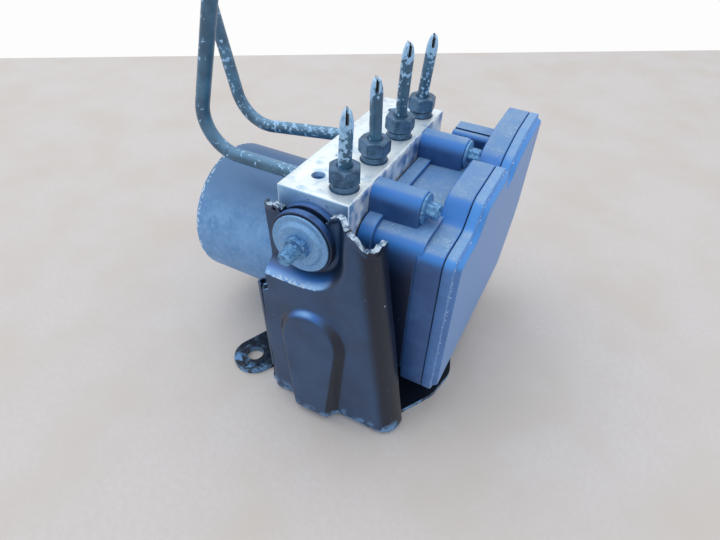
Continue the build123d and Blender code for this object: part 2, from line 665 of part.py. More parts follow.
with BuildPart() as ecu_housing:
    # valve chamber with its stepped collar against the gasket
    extrude(chamber_section(neck_start, 0).sketch, amount=neck_length)
    extrude(chamber_section(neck_start, collar_step).sketch, amount=collar_length)
    # main body
    extrude(body_section(neck_end, 0, scallop_d).sketch, amount=body_length)
    # screw bosses: round, with straight flanks down to the chamber
    with BuildSketch(yz(unit_face)):
        for y, z in top_bosses:
            with Locations((y, z)):
                Circle(boss_d / 2)
            with Locations((y, (z + neck_top) / 2 - 2.0)):
                Rectangle(boss_d, z - neck_top + 4.0)
        for y, z in low_bosses:
            with Locations((y, z)):
                Circle(low_boss_d / 2)
            with Locations((y, (z + neck_bottom) / 2 + 1.0)):
                Rectangle(low_boss_d, neck_bottom - z + 2.0)
    extrude(amount=boss_length)
    # connector shroud, open towards the motor, with a keyway along its top
    with BuildSketch(yz(shroud_x)):
        with Locations(((shroud_front + shroud_rear) / 2, (shroud_bottom + shroud_top) / 2)):
            RectangleRounded(shroud_rear - shroud_front, shroud_top - shroud_bottom, 2.5)
    extrude(amount=shroud_length)
    # hollows: chamber, board bay, shroud
    extrude(chamber_section(unit_face, -neck_wall, chamber_roof).sketch,
            amount=neck_end - neck_wall - unit_face, mode=Mode.SUBTRACT)
    extrude(body_section(neck_end + divider, body_wall, scallop_d + 2 * scallop_wall).sketch,
            amount=body_length - divider, mode=Mode.SUBTRACT)
    with BuildSketch(yz(shroud_x)):
        with Locations(((shroud_front + shroud_rear) / 2, (shroud_bottom + shroud_top) / 2)):
            Rectangle(shroud_rear - shroud_front - 2 * shroud_wall,
                      shroud_top - shroud_bottom - 2 * shroud_wall)
        with Locations((shroud_front + 4.4, shroud_top)):
            Rectangle(1.8, 4 * shroud_wall)
    extrude(amount=shroud_length - 0.8, mode=Mode.SUBTRACT)
    # pillars that carry the circuit board
    with BuildSketch(yz(neck_end + divider)):
        with Locations((neck_front + 8, 30), (neck_front + 8, 84), (70, 92), (66, 50)):
            Rectangle(4, 4)
    extrude(amount=board_standoff)
    # ways through for screws, coil pins, connector pins and the motor's contact
    for places in (top_bosses, low_bosses):
        with BuildSketch(yz(unit_face)):
            with Locations(*places):
                Circle(screw_d / 2 + loose_gap)
        extrude(amount=boss_length, mode=Mode.SUBTRACT)
    with BuildSketch(yz(unit_face + boss_length)):
        with Locations(*top_bosses):
            Circle(screw_flange_d / 2 + loose_gap)
    extrude(amount=neck_end - unit_face - boss_length, mode=Mode.SUBTRACT)
    with BuildSketch(yz(neck_end - neck_wall - 0.2)):
        for y, z in valves:
            with Locations((y, z)):
                Rectangle(2 * coil_pin_spread + 2.0, 2.0)
        with Locations((0, contact_post_z)):
            Circle(contact_post_d / 2 + loose_gap)
        with Locations(*connector_pins_at):
            Rectangle(pin_size + 0.1, pin_size + 0.1)
        with Locations(*power_pins_at):
            Rectangle(pin_size + 0.1, power_pin_size + 0.1)
    extrude(amount=divider + neck_wall + 0.2, mode=Mode.SUBTRACT)
    # the gasket's bed
    extrude(chamber_section(unit_face, 0).sketch, amount=gasket_thickness, mode=Mode.SUBTRACT)
save(ecu_housing, "ecu_housing")

with BuildPart() as housing_gasket:
    extrude(chamber_section(unit_face, 0).sketch, amount=gasket_thickness)
    extrude(chamber_section(unit_face, -neck_wall).sketch, amount=gasket_thickness,
            mode=Mode.SUBTRACT)
save(housing_gasket, "housing_gasket")

with BuildPart() as circuit_board:
    extrude(body_section(board_x, body_wall + 0.5, scallop_d + 2 * scallop_wall + 1.0).sketch,
            amount=board_thickness)
save(circuit_board, "circuit_board")

# (Y, Z), (width, height), thickness
component_plan = (
    ((8.0, 60.0), (14.0, 14.0), 1.4), ((-14.0, 62.0), (10.0, 10.0), 1.2),
    ((-28.0, 84.0), (7.0, 9.0), 2.2), ((-28.0, 72.0), (7.0, 9.0), 2.2),
    ((-28.0, 60.0), (7.0, 9.0), 2.2), ((-28.0, 48.0), (7.0, 9.0), 2.2),
    ((30.0, 84.0), (16.0, 12.0), 4.6), ((54.0, 88.0), (12.0, 9.0), 4.6),
    ((32.0, 40.0), (12.0, 8.0), 3.2), ((8.0, 38.0), (6.0, 6.0), 3.6), ((-6.0, 38.0), (6.0, 6.0), 3.6),
    ((60.0, 60.0), (10.0, 6.0), 1.6), ((34.0, 62.0), (8.0, 8.0), 1.2),
)
with BuildPart() as board_components:
    for place, (width, height), thickness in component_plan:
        with BuildSketch(yz(board_x + board_thickness)):
            with Locations(place):
                Rectangle(width, height)
        extrude(amount=thickness)
save(board_components, "board_components")

with BuildPart() as connector_pins:
    with BuildSketch(yz(board_x)):
        with Locations(*connector_pins_at):
            Rectangle(pin_size, pin_size)
        with Locations(*power_pins_at):
            Rectangle(pin_size, power_pin_size)
    extrude(amount=-(board_x - shroud_x - 4.8))
save(connector_pins, "connector_pins")

with BuildPart() as cover_seal:
    extrude(body_section(seal_plane, seal_inset, scallop_d + 2 * seal_inset).sketch, amount=seal_gap)
    extrude(body_section(seal_plane, seal_inset + seal_width,
                         scallop_d + 2 * seal_inset + 2 * seal_width).sketch,
            amount=seal_gap, mode=Mode.SUBTRACT)
save(cover_seal, "cover_seal")

with BuildPart() as ecu_cover:
    with BuildSketch(yz(cover_plane + cover_rim)):
        add(body_outline.sketch)
        offset(amount=-cover_ledge)
    extrude(amount=cover_raise)
    chamfer(ecu_cover.faces().sort_by(Axis.X)[-1].edges(), cover_slope)
    with BuildSketch(yz(cover_plane)):
        add(body_outline.sketch)
    extrude(amount=cover_rim)
    with BuildSketch(yz(cover_plane)):
        with Locations(*low_bosses):
            Circle(scallop_d / 2)
    extrude(amount=cover_rim + cover_raise, mode=Mode.SUBTRACT)
    extrude(body_section(cover_plane, body_wall, scallop_d + 2 * scallop_wall).sketch,
            amount=cover_rim + cover_raise - cover_wall, mode=Mode.SUBTRACT)
save(ecu_cover, "ecu_cover")

with BuildPart() as ecu_screws:
    for places, depth, flange_d in ((top_bosses, screw_bore_depth, screw_flange_d),
                                    (low_bosses, low_screw_depth, scallop_d - 1.0)):
        with BuildSketch(yz(unit_face - depth + 0.5)):
            with Locations(*places):
                Circle(screw_d / 2)
        extrude(amount=boss_length + depth - 0.5)
        with BuildSketch(yz(unit_face + boss_length)):
            with Locations(*places):
                Circle(flange_d / 2)
        extrude(amount=screw_flange)
        with BuildSketch(yz(unit_face + boss_length + screw_flange)):
            with Locations(*places):
                RegularPolygon(screw_head_d / 2, 6)
        extrude(amount=screw_head)
save(ecu_screws, "ecu_screws")

# ---------------------------------------------------------------- bracket: one folded and drawn sheet
wall_side_bottom, wall_side_top = (-16.5, 46.0), (-22.0, 28.4)     # left and right edge of the wall
wall_rise = 112.0
pocket_floor = block_front - rubber_lip - sheet     # outer face of the recess round the stud
pocket_flare_low, pocket_flare_side = 3.2, 6.0     # how much wider the recess is at the wall
# raised pad: (X, Z) where it leaves the wall, then where its own flat face begins
pad_foot = ((18.0, -4.0), (21.8, 46.0), (5.0, 63.0), (-9.5, 44.0), (-3.0, -4.0))
pad_face = ((14.5, -66.0), (17.3, -15.0), (5.0, -0.5), (-6.0, -17.0), (0.5, -66.0))
pad_top_z, pad_rise, pad_lean, pad_chin = 61.0, 2.7, 3.25, 6.0
recess_growth = 0.6         # share of the sheet by which the recess is wider inside, to keep its flanks thick


def arched(points):
    """Outline of the pad: straight sides under an arch."""
    low_right, right, crown, left, low_left = points
    with BuildLine() as line:
        Line(low_right, right)
        ThreePointArc(right, crown, left)
        Polyline(left, low_left, low_right)
    return line.line


def raised_pad(inset):
    """The pad that stands out of the wall, with its chin rounded under."""
    chin_y = wall_front - pad_rise - (pad_top_z - pad_chin) * tan(radians(pad_lean)) + pad_chin
    with BuildPart() as pad:
        with BuildSketch(xz(wall_front + inset + 0.2)):
            add(arched(pad_foot))
            make_face()
        with BuildSketch(Plane(origin=(0, wall_front - pad_rise + inset, pad_top_z), x_dir=(1, 0, 0),
                               z_dir=(0, -cos(radians(pad_lean)), sin(radians(pad_lean))))):
            add(arched(pad_face))
            make_face()
        loft()
        with BuildSketch(Plane.YZ):
            with Locations((chin_y - pad_chin, 0)):
                Rectangle(2 * pad_chin, 2 * pad_chin)
            with Locations((chin_y, pad_chin)):
                Circle(pad_chin - inset, mode=Mode.SUBTRACT)
        extrude(amount=2 * wall_depth + 2 * pocket_r, both=True, mode=Mode.SUBTRACT)
    return pad.part


def recess_outline(y, wider, grow):
    """Outline of the recess at y: a quarter round under the stud, open to the left and to the top."""
    low = pocket_r + wider * pocket_flare_low + grow
    side = pocket_r + wider * pocket_flare_side + grow
    centre_x = side - low
    with BuildSketch(xz(y)) as outline:
        with BuildLine():
            Polyline((-40, stud_z - low), (centre_x, stud_z - low))
            CenterArc((centre_x, stud_z), low, -90, 90)
            Polyline((side, stud_z), (side, wall_rise + 20), (-40, wall_rise + 20), (-40, stud_z - low))
        make_face()
    return outline.sketch


def wall_die(inset):
    """The bracket's upright part as a solid; the one with the sheet's inset leaves the sheet."""
    left_low, right_low = wall_side_bottom
    left_high, right_high = wall_side_top
    with BuildPart() as die:
        with BuildSketch(xz(wall_front + inset)):
            Polygon((left_low + inset, inset), (right_low - inset, inset),
                    (right_high - inset, wall_rise), (left_high + inset, wall_rise), align=None)
        extrude(amount=-(wall_depth + (sheet if inset else 0)))
        front = die.faces().sort_by(Axis.Y)[0]
        fillet(front.edges().sort_by(Axis.X)[-1], bend_right - inset)
        front = die.faces().sort_by(Axis.Y)[0]
        fillet(front.edges().sort_by(Axis.X)[0], bend_left - inset)
        bottom = die.faces().sort_by(Axis.Z)[0]
        fillet(bottom.edges().filter_by(lambda e: e.center().Y < wall_front + bend_right * 0.6),
               bend_bottom - inset)
        # pad
        add(raised_pad(inset))
        # recess round the stud, open to the left and to the top
        loft([recess_outline(pocket_floor + inset, 0, inset * recess_growth),
              recess_outline(wall_front + inset, 1, inset * recess_growth)], mode=Mode.SUBTRACT)
        extrude(recess_outline(wall_front + inset, 1, inset * recess_growth), amount=2 * pad_chin,
                mode=Mode.SUBTRACT)
        with BuildSketch(Plane.XY.offset(inset)):
            Rectangle(200, 200)
        extrude(amount=-20, mode=Mode.SUBTRACT)
    return die.part


outer_die, inner_die = wall_die(0), wall_die(sheet)

# what is left of the wall after its top tore away, seen from the front in (X, Z)
torn_edge = ((-40.0, 66.0), (-18.8, 65.8), (-17.6, 68.6), (-14.6, 70.2), (-16.6, 75.0), (-16.2, 88.0),
             (-17.0, 97.0), (-16.8, 100.6), (-14.8, 99.8), (-12.0, 101.6), (-8.4, 101.2), (-8.0, 112.0),
             (8.6, 112.0), (9.0, 100.0), (11.0, 103.4), (14.6, 105.6), (18.2, 106.2), (21.0, 104.4),
             (24.0, 103.0), (26.0, 99.8), (28.8, 98.0), (31.6, 99.6), (34.6, 104.8), (50.0, 104.0))

plate_corners = (
    ((-19.0, wall_front + bend_bottom), 0.5), ((43.0, wall_front + bend_bottom), 1.0),
    ((42.6, -44.2), 8.0), ((52.4, -28.0), 14.0), ((55.6, -12.0), 12.0), ((50.0, 5.0), 10.0),
    ((36.0, 14.0), 10.0), ((20.0, 16.0), 10.0), ((19.0, 52.0), 8.0), ((-19.0, 52.0), 8.0),
    ((-19.0, -30.0), 3.0), ((-24.0, -36.0), 3.0), ((-24.0, -47.5), 2.0),
)
left_ear, rear_ear, right_hole = (-34.5, -48.8), (0.0, 63.0), (42.0, -15.0)
seat_slope = 3.6


def arm(ear, root, root_r):
    """Flat arm: the hull of the round ear and a round root under the unit."""
    with BuildSketch() as shape:
        with BuildLine():
            CenterArc(ear, ear_r, 0, 360)
            CenterArc(root, root_r, 0, 360)
        make_hull()
    return shape


left_arm = arm(left_ear, (-10.0, 0.0), 13.0)
rear_arm = arm(rear_ear, (0.0, 40.0), 17.0)

with BuildPart() as bracket:
    add(outer_die)
    add(inner_die, mode=Mode.SUBTRACT)
    with BuildSketch(xz(wall_front - 20)):
        Polygon(*torn_edge, (60.0, 140.0), (-60.0, 140.0), (-60.0, 66.0), align=None)
    extrude(amount=-50, mode=Mode.SUBTRACT)
    # slot for the rubber mount, open at the torn top
    with BuildSketch(xz(wall_front - 20)):
        with Locations((0, stud_z)):
            Circle(slot_r)
        with Locations((0, stud_z + 20)):
            Rectangle(2 * slot_r, 40)
    extrude(amount=-50, mode=Mode.SUBTRACT)
    # base plate with its ears
    with BuildSketch():
        with BuildLine():
            FilletPolyline(*[point for point, _ in plate_corners],
                           radius=[r for _, r in plate_corners], close=True)
        make_face()
        add(left_arm.sketch)
        add(rear_arm.sketch)
        with Locations((0, -base_mount_y), (0, base_mount_y)):
            Circle(seat_r + seat_slope, mode=Mode.SUBTRACT)
    extrude(amount=sheet)
    for ear in (left_ear, rear_ear, right_hole):
        with BuildSketch(Plane.XY.offset(sheet)):
            with Locations(ear):
                Circle(ear_collar_d / 2)
        extrude(amount=ear_collar)
    # drawn seats for the two lower rubber mounts
    for y in (-base_mount_y, base_mount_y):
        with BuildSketch(Plane.XZ.offset(-y)):
            with BuildLine():
                Polyline((seat_r + seat_slope, 0), (seat_r + seat_slope + 0.3, 0),
                         (seat_r + seat_slope + 0.3, sheet), (seat_r + 1.4, sheet + seat_height),
                         (low_rubber_neck, sheet + seat_height), (low_rubber_neck, seat_height),
                         (seat_r, seat_height), close=True)
            make_face()
        revolve(axis=Axis((0, y, 0), (0, 0, 1)))
    with BuildSketch():
        with Locations(left_ear, rear_ear, right_hole):
            Circle(fixing_hole_d / 2)
    extrude(amount=sheet + ear_collar, mode=Mode.SUBTRACT)
save(bracket, "bracket")

# ---------------------------------------------------------------- rubber mounts and their fasteners
rubber_front = pocket_floor - rubber_lip
washer_front = rubber_front - washer_thickness
neck_clear = 0.2
with BuildPart() as front_grommet:
    for start, length, radius in (
        (block_front, rubber_lip, rubber_d / 2), (block_front, rubber_lip + sheet, slot_r - neck_clear),
        (pocket_floor, rubber_lip, rubber_d / 2),
    ):
        with BuildSketch(xz(start)):
            with Locations((0, stud_z)):
                Circle(radius)
        extrude(amount=length)
    with BuildSketch(xz(block_front)):
        with Locations((0, stud_z)):
            Circle(rubber_bore / 2)
    extrude(amount=block_front - rubber_front, mode=Mode.SUBTRACT)
save(front_grommet, "front_grommet")

with BuildPart() as front_washer:
    with BuildSketch(xz(rubber_front)):
        with Locations((0, stud_z)):
            Circle(washer_d / 2)
    extrude(amount=washer_thickness)
    with BuildSketch(xz(washer_front)):
        with Locations((0, stud_z)):
            Circle(washer_d / 3)
    extrude(amount=0.5)
    with BuildSketch(xz(rubber_front)):
        with Locations((0, stud_z)):
            Circle(stud_d / 2 + loose_gap)
    extrude(amount=washer_thickness + 0.5, mode=Mode.SUBTRACT)
save(front_washer, "front_washer")

with BuildPart() as front_stud:
    with BuildSketch(xz(block_front + screw_bore_depth)):
        with Locations((0, stud_z)):
            Circle(stud_d / 2)
    extrude(amount=block_front + screw_bore_depth - washer_front + 0.5 + stud_hex_height + stud_reach)
    chamfer(front_stud.faces().sort_by(Axis.Y)[0].edges(), 0.8)
    with BuildSketch(xz(washer_front - 0.5)):
        with Locations((0, stud_z)):
            RegularPolygon(stud_hex / 2, 6, major_radius=False)
    extrude(amount=stud_hex_height)
save(front_stud, "front_stud")

low_rubber_floor = seat_height - low_rubber_lip
with BuildPart() as base_grommets:
    for bottom, top, radius in (
        (low_rubber_floor, seat_height, low_rubber_d / 2),
        (low_rubber_floor, ground_gap, low_rubber_neck - neck_clear),
        (seat_height + sheet, ground_gap, low_rubber_d / 2),
    ):
        with BuildSketch(Plane.XY.offset(bottom)):
            with Locations((0, -base_mount_y), (0, base_mount_y)):
                Circle(radius)
        extrude(amount=top - bottom)
    with BuildSketch(Plane.XY.offset(low_rubber_floor)):
        with Locations((0, -base_mount_y), (0, base_mount_y)):
            Circle(rubber_bore / 2)
    extrude(amount=ground_gap - low_rubber_floor, mode=Mode.SUBTRACT)
save(base_grommets, "base_grommets")

base_screw_head, base_screw_head_d = 2.0, 15.0
with BuildPart() as base_screws:
    with BuildSketch(Plane.XY.offset(low_rubber_floor - base_screw_head)):
        with Locations((0, -base_mount_y), (0, base_mount_y)):
            RegularPolygon(base_screw_head_d / 2, 6)
    extrude(amount=base_screw_head)
    with BuildSketch(Plane.XY.offset(low_rubber_floor)):
        with Locations((0, -base_mount_y), (0, base_mount_y)):
            Circle(stud_d / 2)
    extrude(amount=ground_gap - low_rubber_floor + screw_bore_depth)
save(base_screws, "base_screws")
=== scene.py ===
"""Looks of an anti-lock brake hydraulic unit: fine surfaces over its solids, finishes, floor, light, camera."""
import json

import bmesh
import bpy
import numpy as np
from mathutils import Matrix, Vector


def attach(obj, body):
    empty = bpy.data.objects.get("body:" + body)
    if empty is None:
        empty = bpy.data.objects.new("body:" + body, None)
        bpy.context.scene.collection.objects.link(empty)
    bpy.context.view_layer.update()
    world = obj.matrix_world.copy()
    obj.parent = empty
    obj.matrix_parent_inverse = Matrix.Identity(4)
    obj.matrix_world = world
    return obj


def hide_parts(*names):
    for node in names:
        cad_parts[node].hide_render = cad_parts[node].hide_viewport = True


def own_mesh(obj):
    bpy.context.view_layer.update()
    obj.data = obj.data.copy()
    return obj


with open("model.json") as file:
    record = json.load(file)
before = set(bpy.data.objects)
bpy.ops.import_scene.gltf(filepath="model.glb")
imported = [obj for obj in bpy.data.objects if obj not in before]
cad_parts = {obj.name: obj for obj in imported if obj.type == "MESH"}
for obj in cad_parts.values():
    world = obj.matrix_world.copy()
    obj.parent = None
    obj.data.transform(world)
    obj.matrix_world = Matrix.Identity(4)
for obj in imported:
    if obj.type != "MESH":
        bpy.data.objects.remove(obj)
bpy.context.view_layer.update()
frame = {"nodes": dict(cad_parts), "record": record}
MM = 0.001

# ---------------- places, in millimetres
BLOCK_TOP, BLOCK_FRONT, MOTOR_FACE, UNIT_FACE = 106.0, -46.0, -15.0, 15.0
PORT_X, PORT_PITCH = 7.5, 24.0
WHEEL_PORTS = [(PORT_X, PORT_PITCH * place) for place in (-1.5, -0.5, 0.5, 1.5)]
MASTER_PORTS = ((-20.0, 94.1), (20.0, 94.1))  # (Y, Z) on the motor side
MOTOR_Z, STUD_Z = 50.3, 89.8
FRONT_MOUNT = (0.0, BLOCK_FRONT, STUD_Z)
BASE_MOUNTS = ((0.0, -36.0, 0.0), (0.0, 36.0, 0.0))
SCREW_SEAT = 35.0
# each control unit screw's Y and Z, its boss's radius, the height of the boss's foot, its flange's radius, its length
SCREWS = ((-24.5, 99.5, 6.5, 92.0, 6.0, 29.5), (23.5, 99.5, 6.5, 92.0, 6.0, 29.5),
          (-24.5, 18.2, 5.5, 28.0, 4.7, 25.5), (23.5, 18.2, 5.5, 28.0, 4.7, 25.5))
SLIT_HALF, SLIT_DEPTH = 0.46, 4.6  # the slit in a wheel pipe's nipped end
X, Y, Z = np.eye(3)


# ---------------- surfaces
def grid(points, loop_rows=False, loop_columns=False, capped=False):
    """Vertices and faces of a grid of points[i, j]: each four neighbours make one face, the last row or column
    joins the first if it loops, and capped closes the first and last row with a flat face."""
    rows, columns = points.shape[:2]
    i, j = np.meshgrid(np.arange(rows if loop_rows else rows - 1),
                       np.arange(columns if loop_columns else columns - 1), indexing="ij")
    i2, j2 = (i + 1) % rows, (j + 1) % columns
    quads = np.stack([i * columns + j, i2 * columns + j, i2 * columns + j2, i * columns + j2], -1)
    faces = quads.reshape(-1, 4).tolist()
    if capped:
        first = np.arange(columns)
        faces += [first[::-1].tolist(), (first + (rows - 1) * columns).tolist()]
    return points.reshape(-1, 3), faces


def across(axis):
    """Two directions square to an axis and to each other."""
    axis = np.asarray(axis, float) / np.linalg.norm(axis)
    first = np.cross(axis, Z if abs(axis[2]) < 0.9 else X)
    first /= np.linalg.norm(first)
    return first, np.cross(axis, first)


def about(origin, axis, along, r, t):
    """Points round an axis: origin + along * axis + r * (cos(t) * u + sin(t) * v), u and v square to the axis."""
    u, v = across(axis)
    return (np.asarray(origin) + along[:, None, None] * np.asarray(axis)
            + r[..., None] * (np.cos(t)[:, None] * u + np.sin(t)[:, None] * v)[None])


def turned(profile, origin, axis, steps, radius_at=None):
    """A closed profile of (distance along the axis, radius) carried round the axis, where the radius is the
    profile's or radius_at(along, radius, t)."""
    along, radius = np.asarray(profile, float).T
    t = np.linspace(0, 2 * np.pi, steps, endpoint=False)
    r = np.repeat(radius[:, None], steps, 1)
    if radius_at is not None:
        r = radius_at(along[:, None], r, t[None, :])
    return grid(about(origin, axis, along, r, t), loop_rows=True, loop_columns=True)


def rounded(corners, radii, steps=6):
    """A closed outline with its corners rounded: each is a quadratic curve from a point one radius before it to a
    point one radius after it, (1-s)^2 a + 2s(1-s) corner + s^2 b."""
    corners = np.asarray(corners, float)
    radii = np.broadcast_to(radii, len(corners)).astype(float)
    before, after = np.roll(corners, 1, 0) - corners, np.roll(corners, -1, 0) - corners
    lengths = [np.linalg.norm(d, axis=1) for d in (before, after)]
    reach = np.minimum(radii, np.minimum(*lengths) * 0.49)[:, None]
    a, b = corners + before / lengths[0][:, None] * reach, corners + after / lengths[1][:, None] * reach
    s = np.linspace(0, 1, steps)[None, :, None]
    return ((1 - s) ** 2 * a[:, None] + 2 * s * (1 - s) * corners[:, None] + s ** 2 * b[:, None]).reshape(-1, 2)


def linked(name, data):
    """An object of that data, put into the scene."""
    made = bpy.data.objects.new(name, data)
    bpy.context.scene.collection.objects.link(made)
    return made


def joined(name, parts):
    """A mesh in metres of (vertices in mm, faces) surfaces."""
    verts, faces, start = [], [], 0
    for points, corners in parts:
        verts.append(points * MM)
        faces += [[c + start for c in f] for f in corners]
        start += len(points)
    mesh = bpy.data.meshes.new(name)
    mesh.from_pydata(np.concatenate(verts).tolist(), [], faces)
    return mesh


def surface(mesh):
    """Vertices in mm and faces of a mesh."""
    points = np.empty(len(mesh.vertices) * 3)
    mesh.vertices.foreach_get("co", points)
    return points.reshape(-1, 3) / MM, [list(f.vertices) for f in mesh.polygons]


def merged(mesh, outwards=False):
    """The mesh with its doubles merged; outwards also drops empty faces and turns the others outwards."""
    work = bmesh.new()
    work.from_mesh(mesh)
    bmesh.ops.remove_doubles(work, verts=work.verts, dist=0.002 * MM)
    if outwards:
        bmesh.ops.dissolve_degenerate(work, edges=work.edges, dist=0.0001 * MM)
        bmesh.ops.recalc_face_normals(work, faces=work.faces)
    work.to_mesh(mesh)
    work.free()
    return mesh


def finished(name, mesh, slot, *solids, material=None, smooth=35.0):
    """A piece in place of some solids, in its slot's finish or another material, shaded smooth up to an angle."""
    merged(mesh, outwards=True)
    mesh.shade_smooth()
    mesh.set_sharp_from_angle(angle=np.radians(smooth))
    mesh.materials.clear()
    mesh.materials.append(material or FINISH[slot])
    made = linked(name, mesh)
    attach(made, "unit")
    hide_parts(*solids)
    return made


def piece(name, parts, slot, *solids, **look):
    """A finished piece made of (vertices in mm, faces) surfaces."""
    return finished(name, joined(name, parts), slot, *solids, **look)


def worked_in(body, *tools):
    """The body's mesh with its modifiers worked in; the body and the tools are then removed."""
    mesh = bpy.data.meshes.new_from_object(body.evaluated_get(bpy.context.evaluated_depsgraph_get()))
    for held in (body, *tools):
        bpy.data.objects.remove(held)
    return mesh


def cut_away(solid, *boxes):
    """A solid's surface less some upright boxes, each given by its lowest and highest corner in mm."""
    body, tools = linked("body", merged(frame["nodes"][solid].data.copy())), []
    for low, high in boxes:
        low, high = Vector(low) * MM, Vector(high) * MM
        work, box = bmesh.new(), bpy.data.meshes.new("box")
        bmesh.ops.create_cube(work, size=1, matrix=Matrix.LocRotScale((low + high) / 2, None, high - low))
        work.to_mesh(box)
        work.free()
        tools.append(linked("box", box))
        cut = body.modifiers.new("cut", "BOOLEAN")
        cut.operation, cut.solver, cut.object = "DIFFERENCE", "EXACT", tools[-1]
    return surface(worked_in(body, *tools))


def thickened(parts, thick):
    """The parts merged into one skin and given a wall of thick mm inwards."""
    body = linked("wall", merged(joined("wall", parts)))
    wall = body.modifiers.new("wall", "SOLIDIFY")
    wall.thickness, wall.offset, wall.use_even_offset = thick * MM, -1.0, True
    return surface(worked_in(body))


# ---------------- finishes
def colour(code):
    """sRGB hex to linear red, green, blue, alpha."""
    c = np.array([int(code[i:i + 2], 16) for i in (1, 3, 5)]) / 255
    return (*np.where(c <= 0.04045, c / 12.92, ((c + 0.055) / 1.055) ** 2.4), 1.0)


def fill(made, inputs):
    """Sets a node's inputs by name or number: an output is linked, a hex colour made linear, a value kept."""
    for key, value in inputs.items():
        if isinstance(value, bpy.types.NodeSocket):
            made.id_data.links.new(value, made.inputs[key])
        else:
            made.inputs[key].default_value = colour(value) if isinstance(value, str) else value
    return made


def node(tree, kind, inputs, **settings):
    """Adds a node with its settings and its inputs."""
    made = tree.nodes.new("ShaderNode" + kind)
    for key, value in settings.items():
        setattr(made, key, value)
    return fill(made, inputs)


def finish(name, **shader):
    """A material m with its tree t, its shader s, and the place p in mm and the normal n of a point on the object."""
    material = bpy.data.materials.new(name)
    material.use_nodes = True
    tree = material.node_tree
    bsdf = fill(tree.nodes["Principled BSDF"], {key.replace("_", " "): value for key, value in shader.items()})
    coords = node(tree, "TexCoord", {})
    place = node(tree, "VectorMath", {0: coords.outputs["Object"], "Scale": 1000.0}, operation="SCALE").outputs[0]
    return material, tree, bsdf, place, coords.outputs["Normal"]


def patches(tree, place, size, low, high, detail=3.0, rough=0.55):
    """Irregular patches about size mm across: noise spread so that low..high becomes 0..1."""
    noise = node(tree, "TexNoise", {"Vector": place, "Scale": 1.0 / size, "Detail": detail, "Roughness": rough})
    return node(tree, "MapRange", {"Value": noise.outputs[0], 1: low, 2: high},
                interpolation_type="SMOOTHSTEP").outputs[0]


def between(tree, value, *ends):
    """1 where value lies well inside two pairs of ends, fading to 0 across each pair."""
    both = [node(tree, "MapRange", {"Value": value, 1: a, 2: b}, interpolation_type="SMOOTHSTEP").outputs[0]
            for a, b in ends]
    return both[0] if len(both) == 1 else node(tree, "Math", {0: both[0], 1: both[1]}, operation="MULTIPLY").outputs[0]


def product(tree, *factors):
    """Masks multiplied together."""
    whole = factors[0]
    for factor in factors[1:]:
        whole = node(tree, "Math", {0: whole, 1: factor}, operation="MULTIPLY").outputs[0]
    return whole


def coats(tree, base, *layers):
    """Colours laid over one another, each where its own mask is 1."""
    tone = base
    for mask, cover in layers:
        tone = node(tree, "Mix", {0: mask, 6: tone, 7: cover}, data_type="RGBA").outputs[2]
    return tone


def milled_aluminium():
    """Extruded aluminium bar, sawn and face-milled: whitish and bright, its front painted a paler blue and its right
    side darker in patches for the light they catch, with painted shade in its holes, round the foot of each wheel nut
    and towards the front's lower right, mixed there with some grime.
    """
    m, t, s, p, n = finish("milled_aluminium", Metallic=0.45, Roughness=0.42)
    x, y, z = node(t, "SeparateXYZ", {0: p}).outputs
    up = node(t, "SeparateXYZ", {0: n}).outputs
    # front: the faces towards -Y, painted a paler blue as a reflection of the sky; side: the faces towards +X, painted
    # darker blue in cloudy patches as shade, with stains
    front, side = between(t, up[1], (-0.6, -0.8)), between(t, up[0], (0.6, 0.8))
    cloud = patches(t, p, 8.0, 0.35, 0.68, 5.0)
    # painted shade towards the front's lower right, where the stud, bracket and control unit stand close, mixed with
    # some grime; painted shade within the holes; and a ring of painted shade round the foot of each wheel nut
    low_corner = product(t, front, between(t, x, (-3.0, 13.0)), between(t, z, (105.0, 88.0)))
    shade_and_grime = product(t, low_corner, node(t, "Math", {0: cloud, 1: 0.5, 2: 0.5}, operation="MULTIPLY_ADD").outputs[0])
    shaded_bores = product(t, between(t, z, (104.6, 103.4)), between(t, x, (-14.4, -13.6), (14.4, 13.6)),
                    between(t, y, (-44.4, -43.6), (44.4, 43.6)))
    fold = y  # y folded twice, so that all four ports lie at 0
    for line in (PORT_PITCH, PORT_PITCH / 2):
        fold = node(t, "Math", {0: node(t, "Math", {0: fold}, operation="ABSOLUTE").outputs[0], 1: line},
                    operation="SUBTRACT").outputs[0]
    beside = node(t, "Math", {0: x, 1: PORT_X}, operation="SUBTRACT").outputs[0]
    from_port = node(t, "VectorMath", {0: node(t, "CombineXYZ", {0: beside, 1: fold}).outputs[0]},
                     operation="LENGTH").outputs[1]
    # a ring of painted shade just round the foot of each wheel nut
    nut_foot_shade = product(t, between(t, from_port, (4.9, 5.1), (5.75, 5.5)), between(t, up[2], (0.6, 0.8)))
    tone = coats(t, "#f0fafc", (patches(t, p, 6.0, 0.50, 0.72, 5.0), "#bcd6ea"), (nut_foot_shade, "#3d5f7e"),
                 (front, "#b6dcfa"), (product(t, front, cloud), "#8fc0ec"), (shade_and_grime, "#3f78b8"),
                 (product(t, side, cloud), "#3f78b4"), (patches(t, p, 1.3, 0.67, 0.74, 3.0), "#5f86a8"),
                 (patches(t, p, 3.0, 0.68, 0.73, 4.0), "#86a9c6"), (shaded_bores, "#4f86c0"))
    feed = node(t, "TexWave", {"Vector": p, "Scale": 0.9, "Distortion": 1.5, "Detail": 2.0},
                bands_direction="DIAGONAL").outputs[1]
    marks = node(t, "Bump", {"Height": feed, "Strength": 0.4, "Distance": 0.012 * MM}).outputs[0]
    fill(s, {"Base Color": tone, "Normal": marks})
    return m


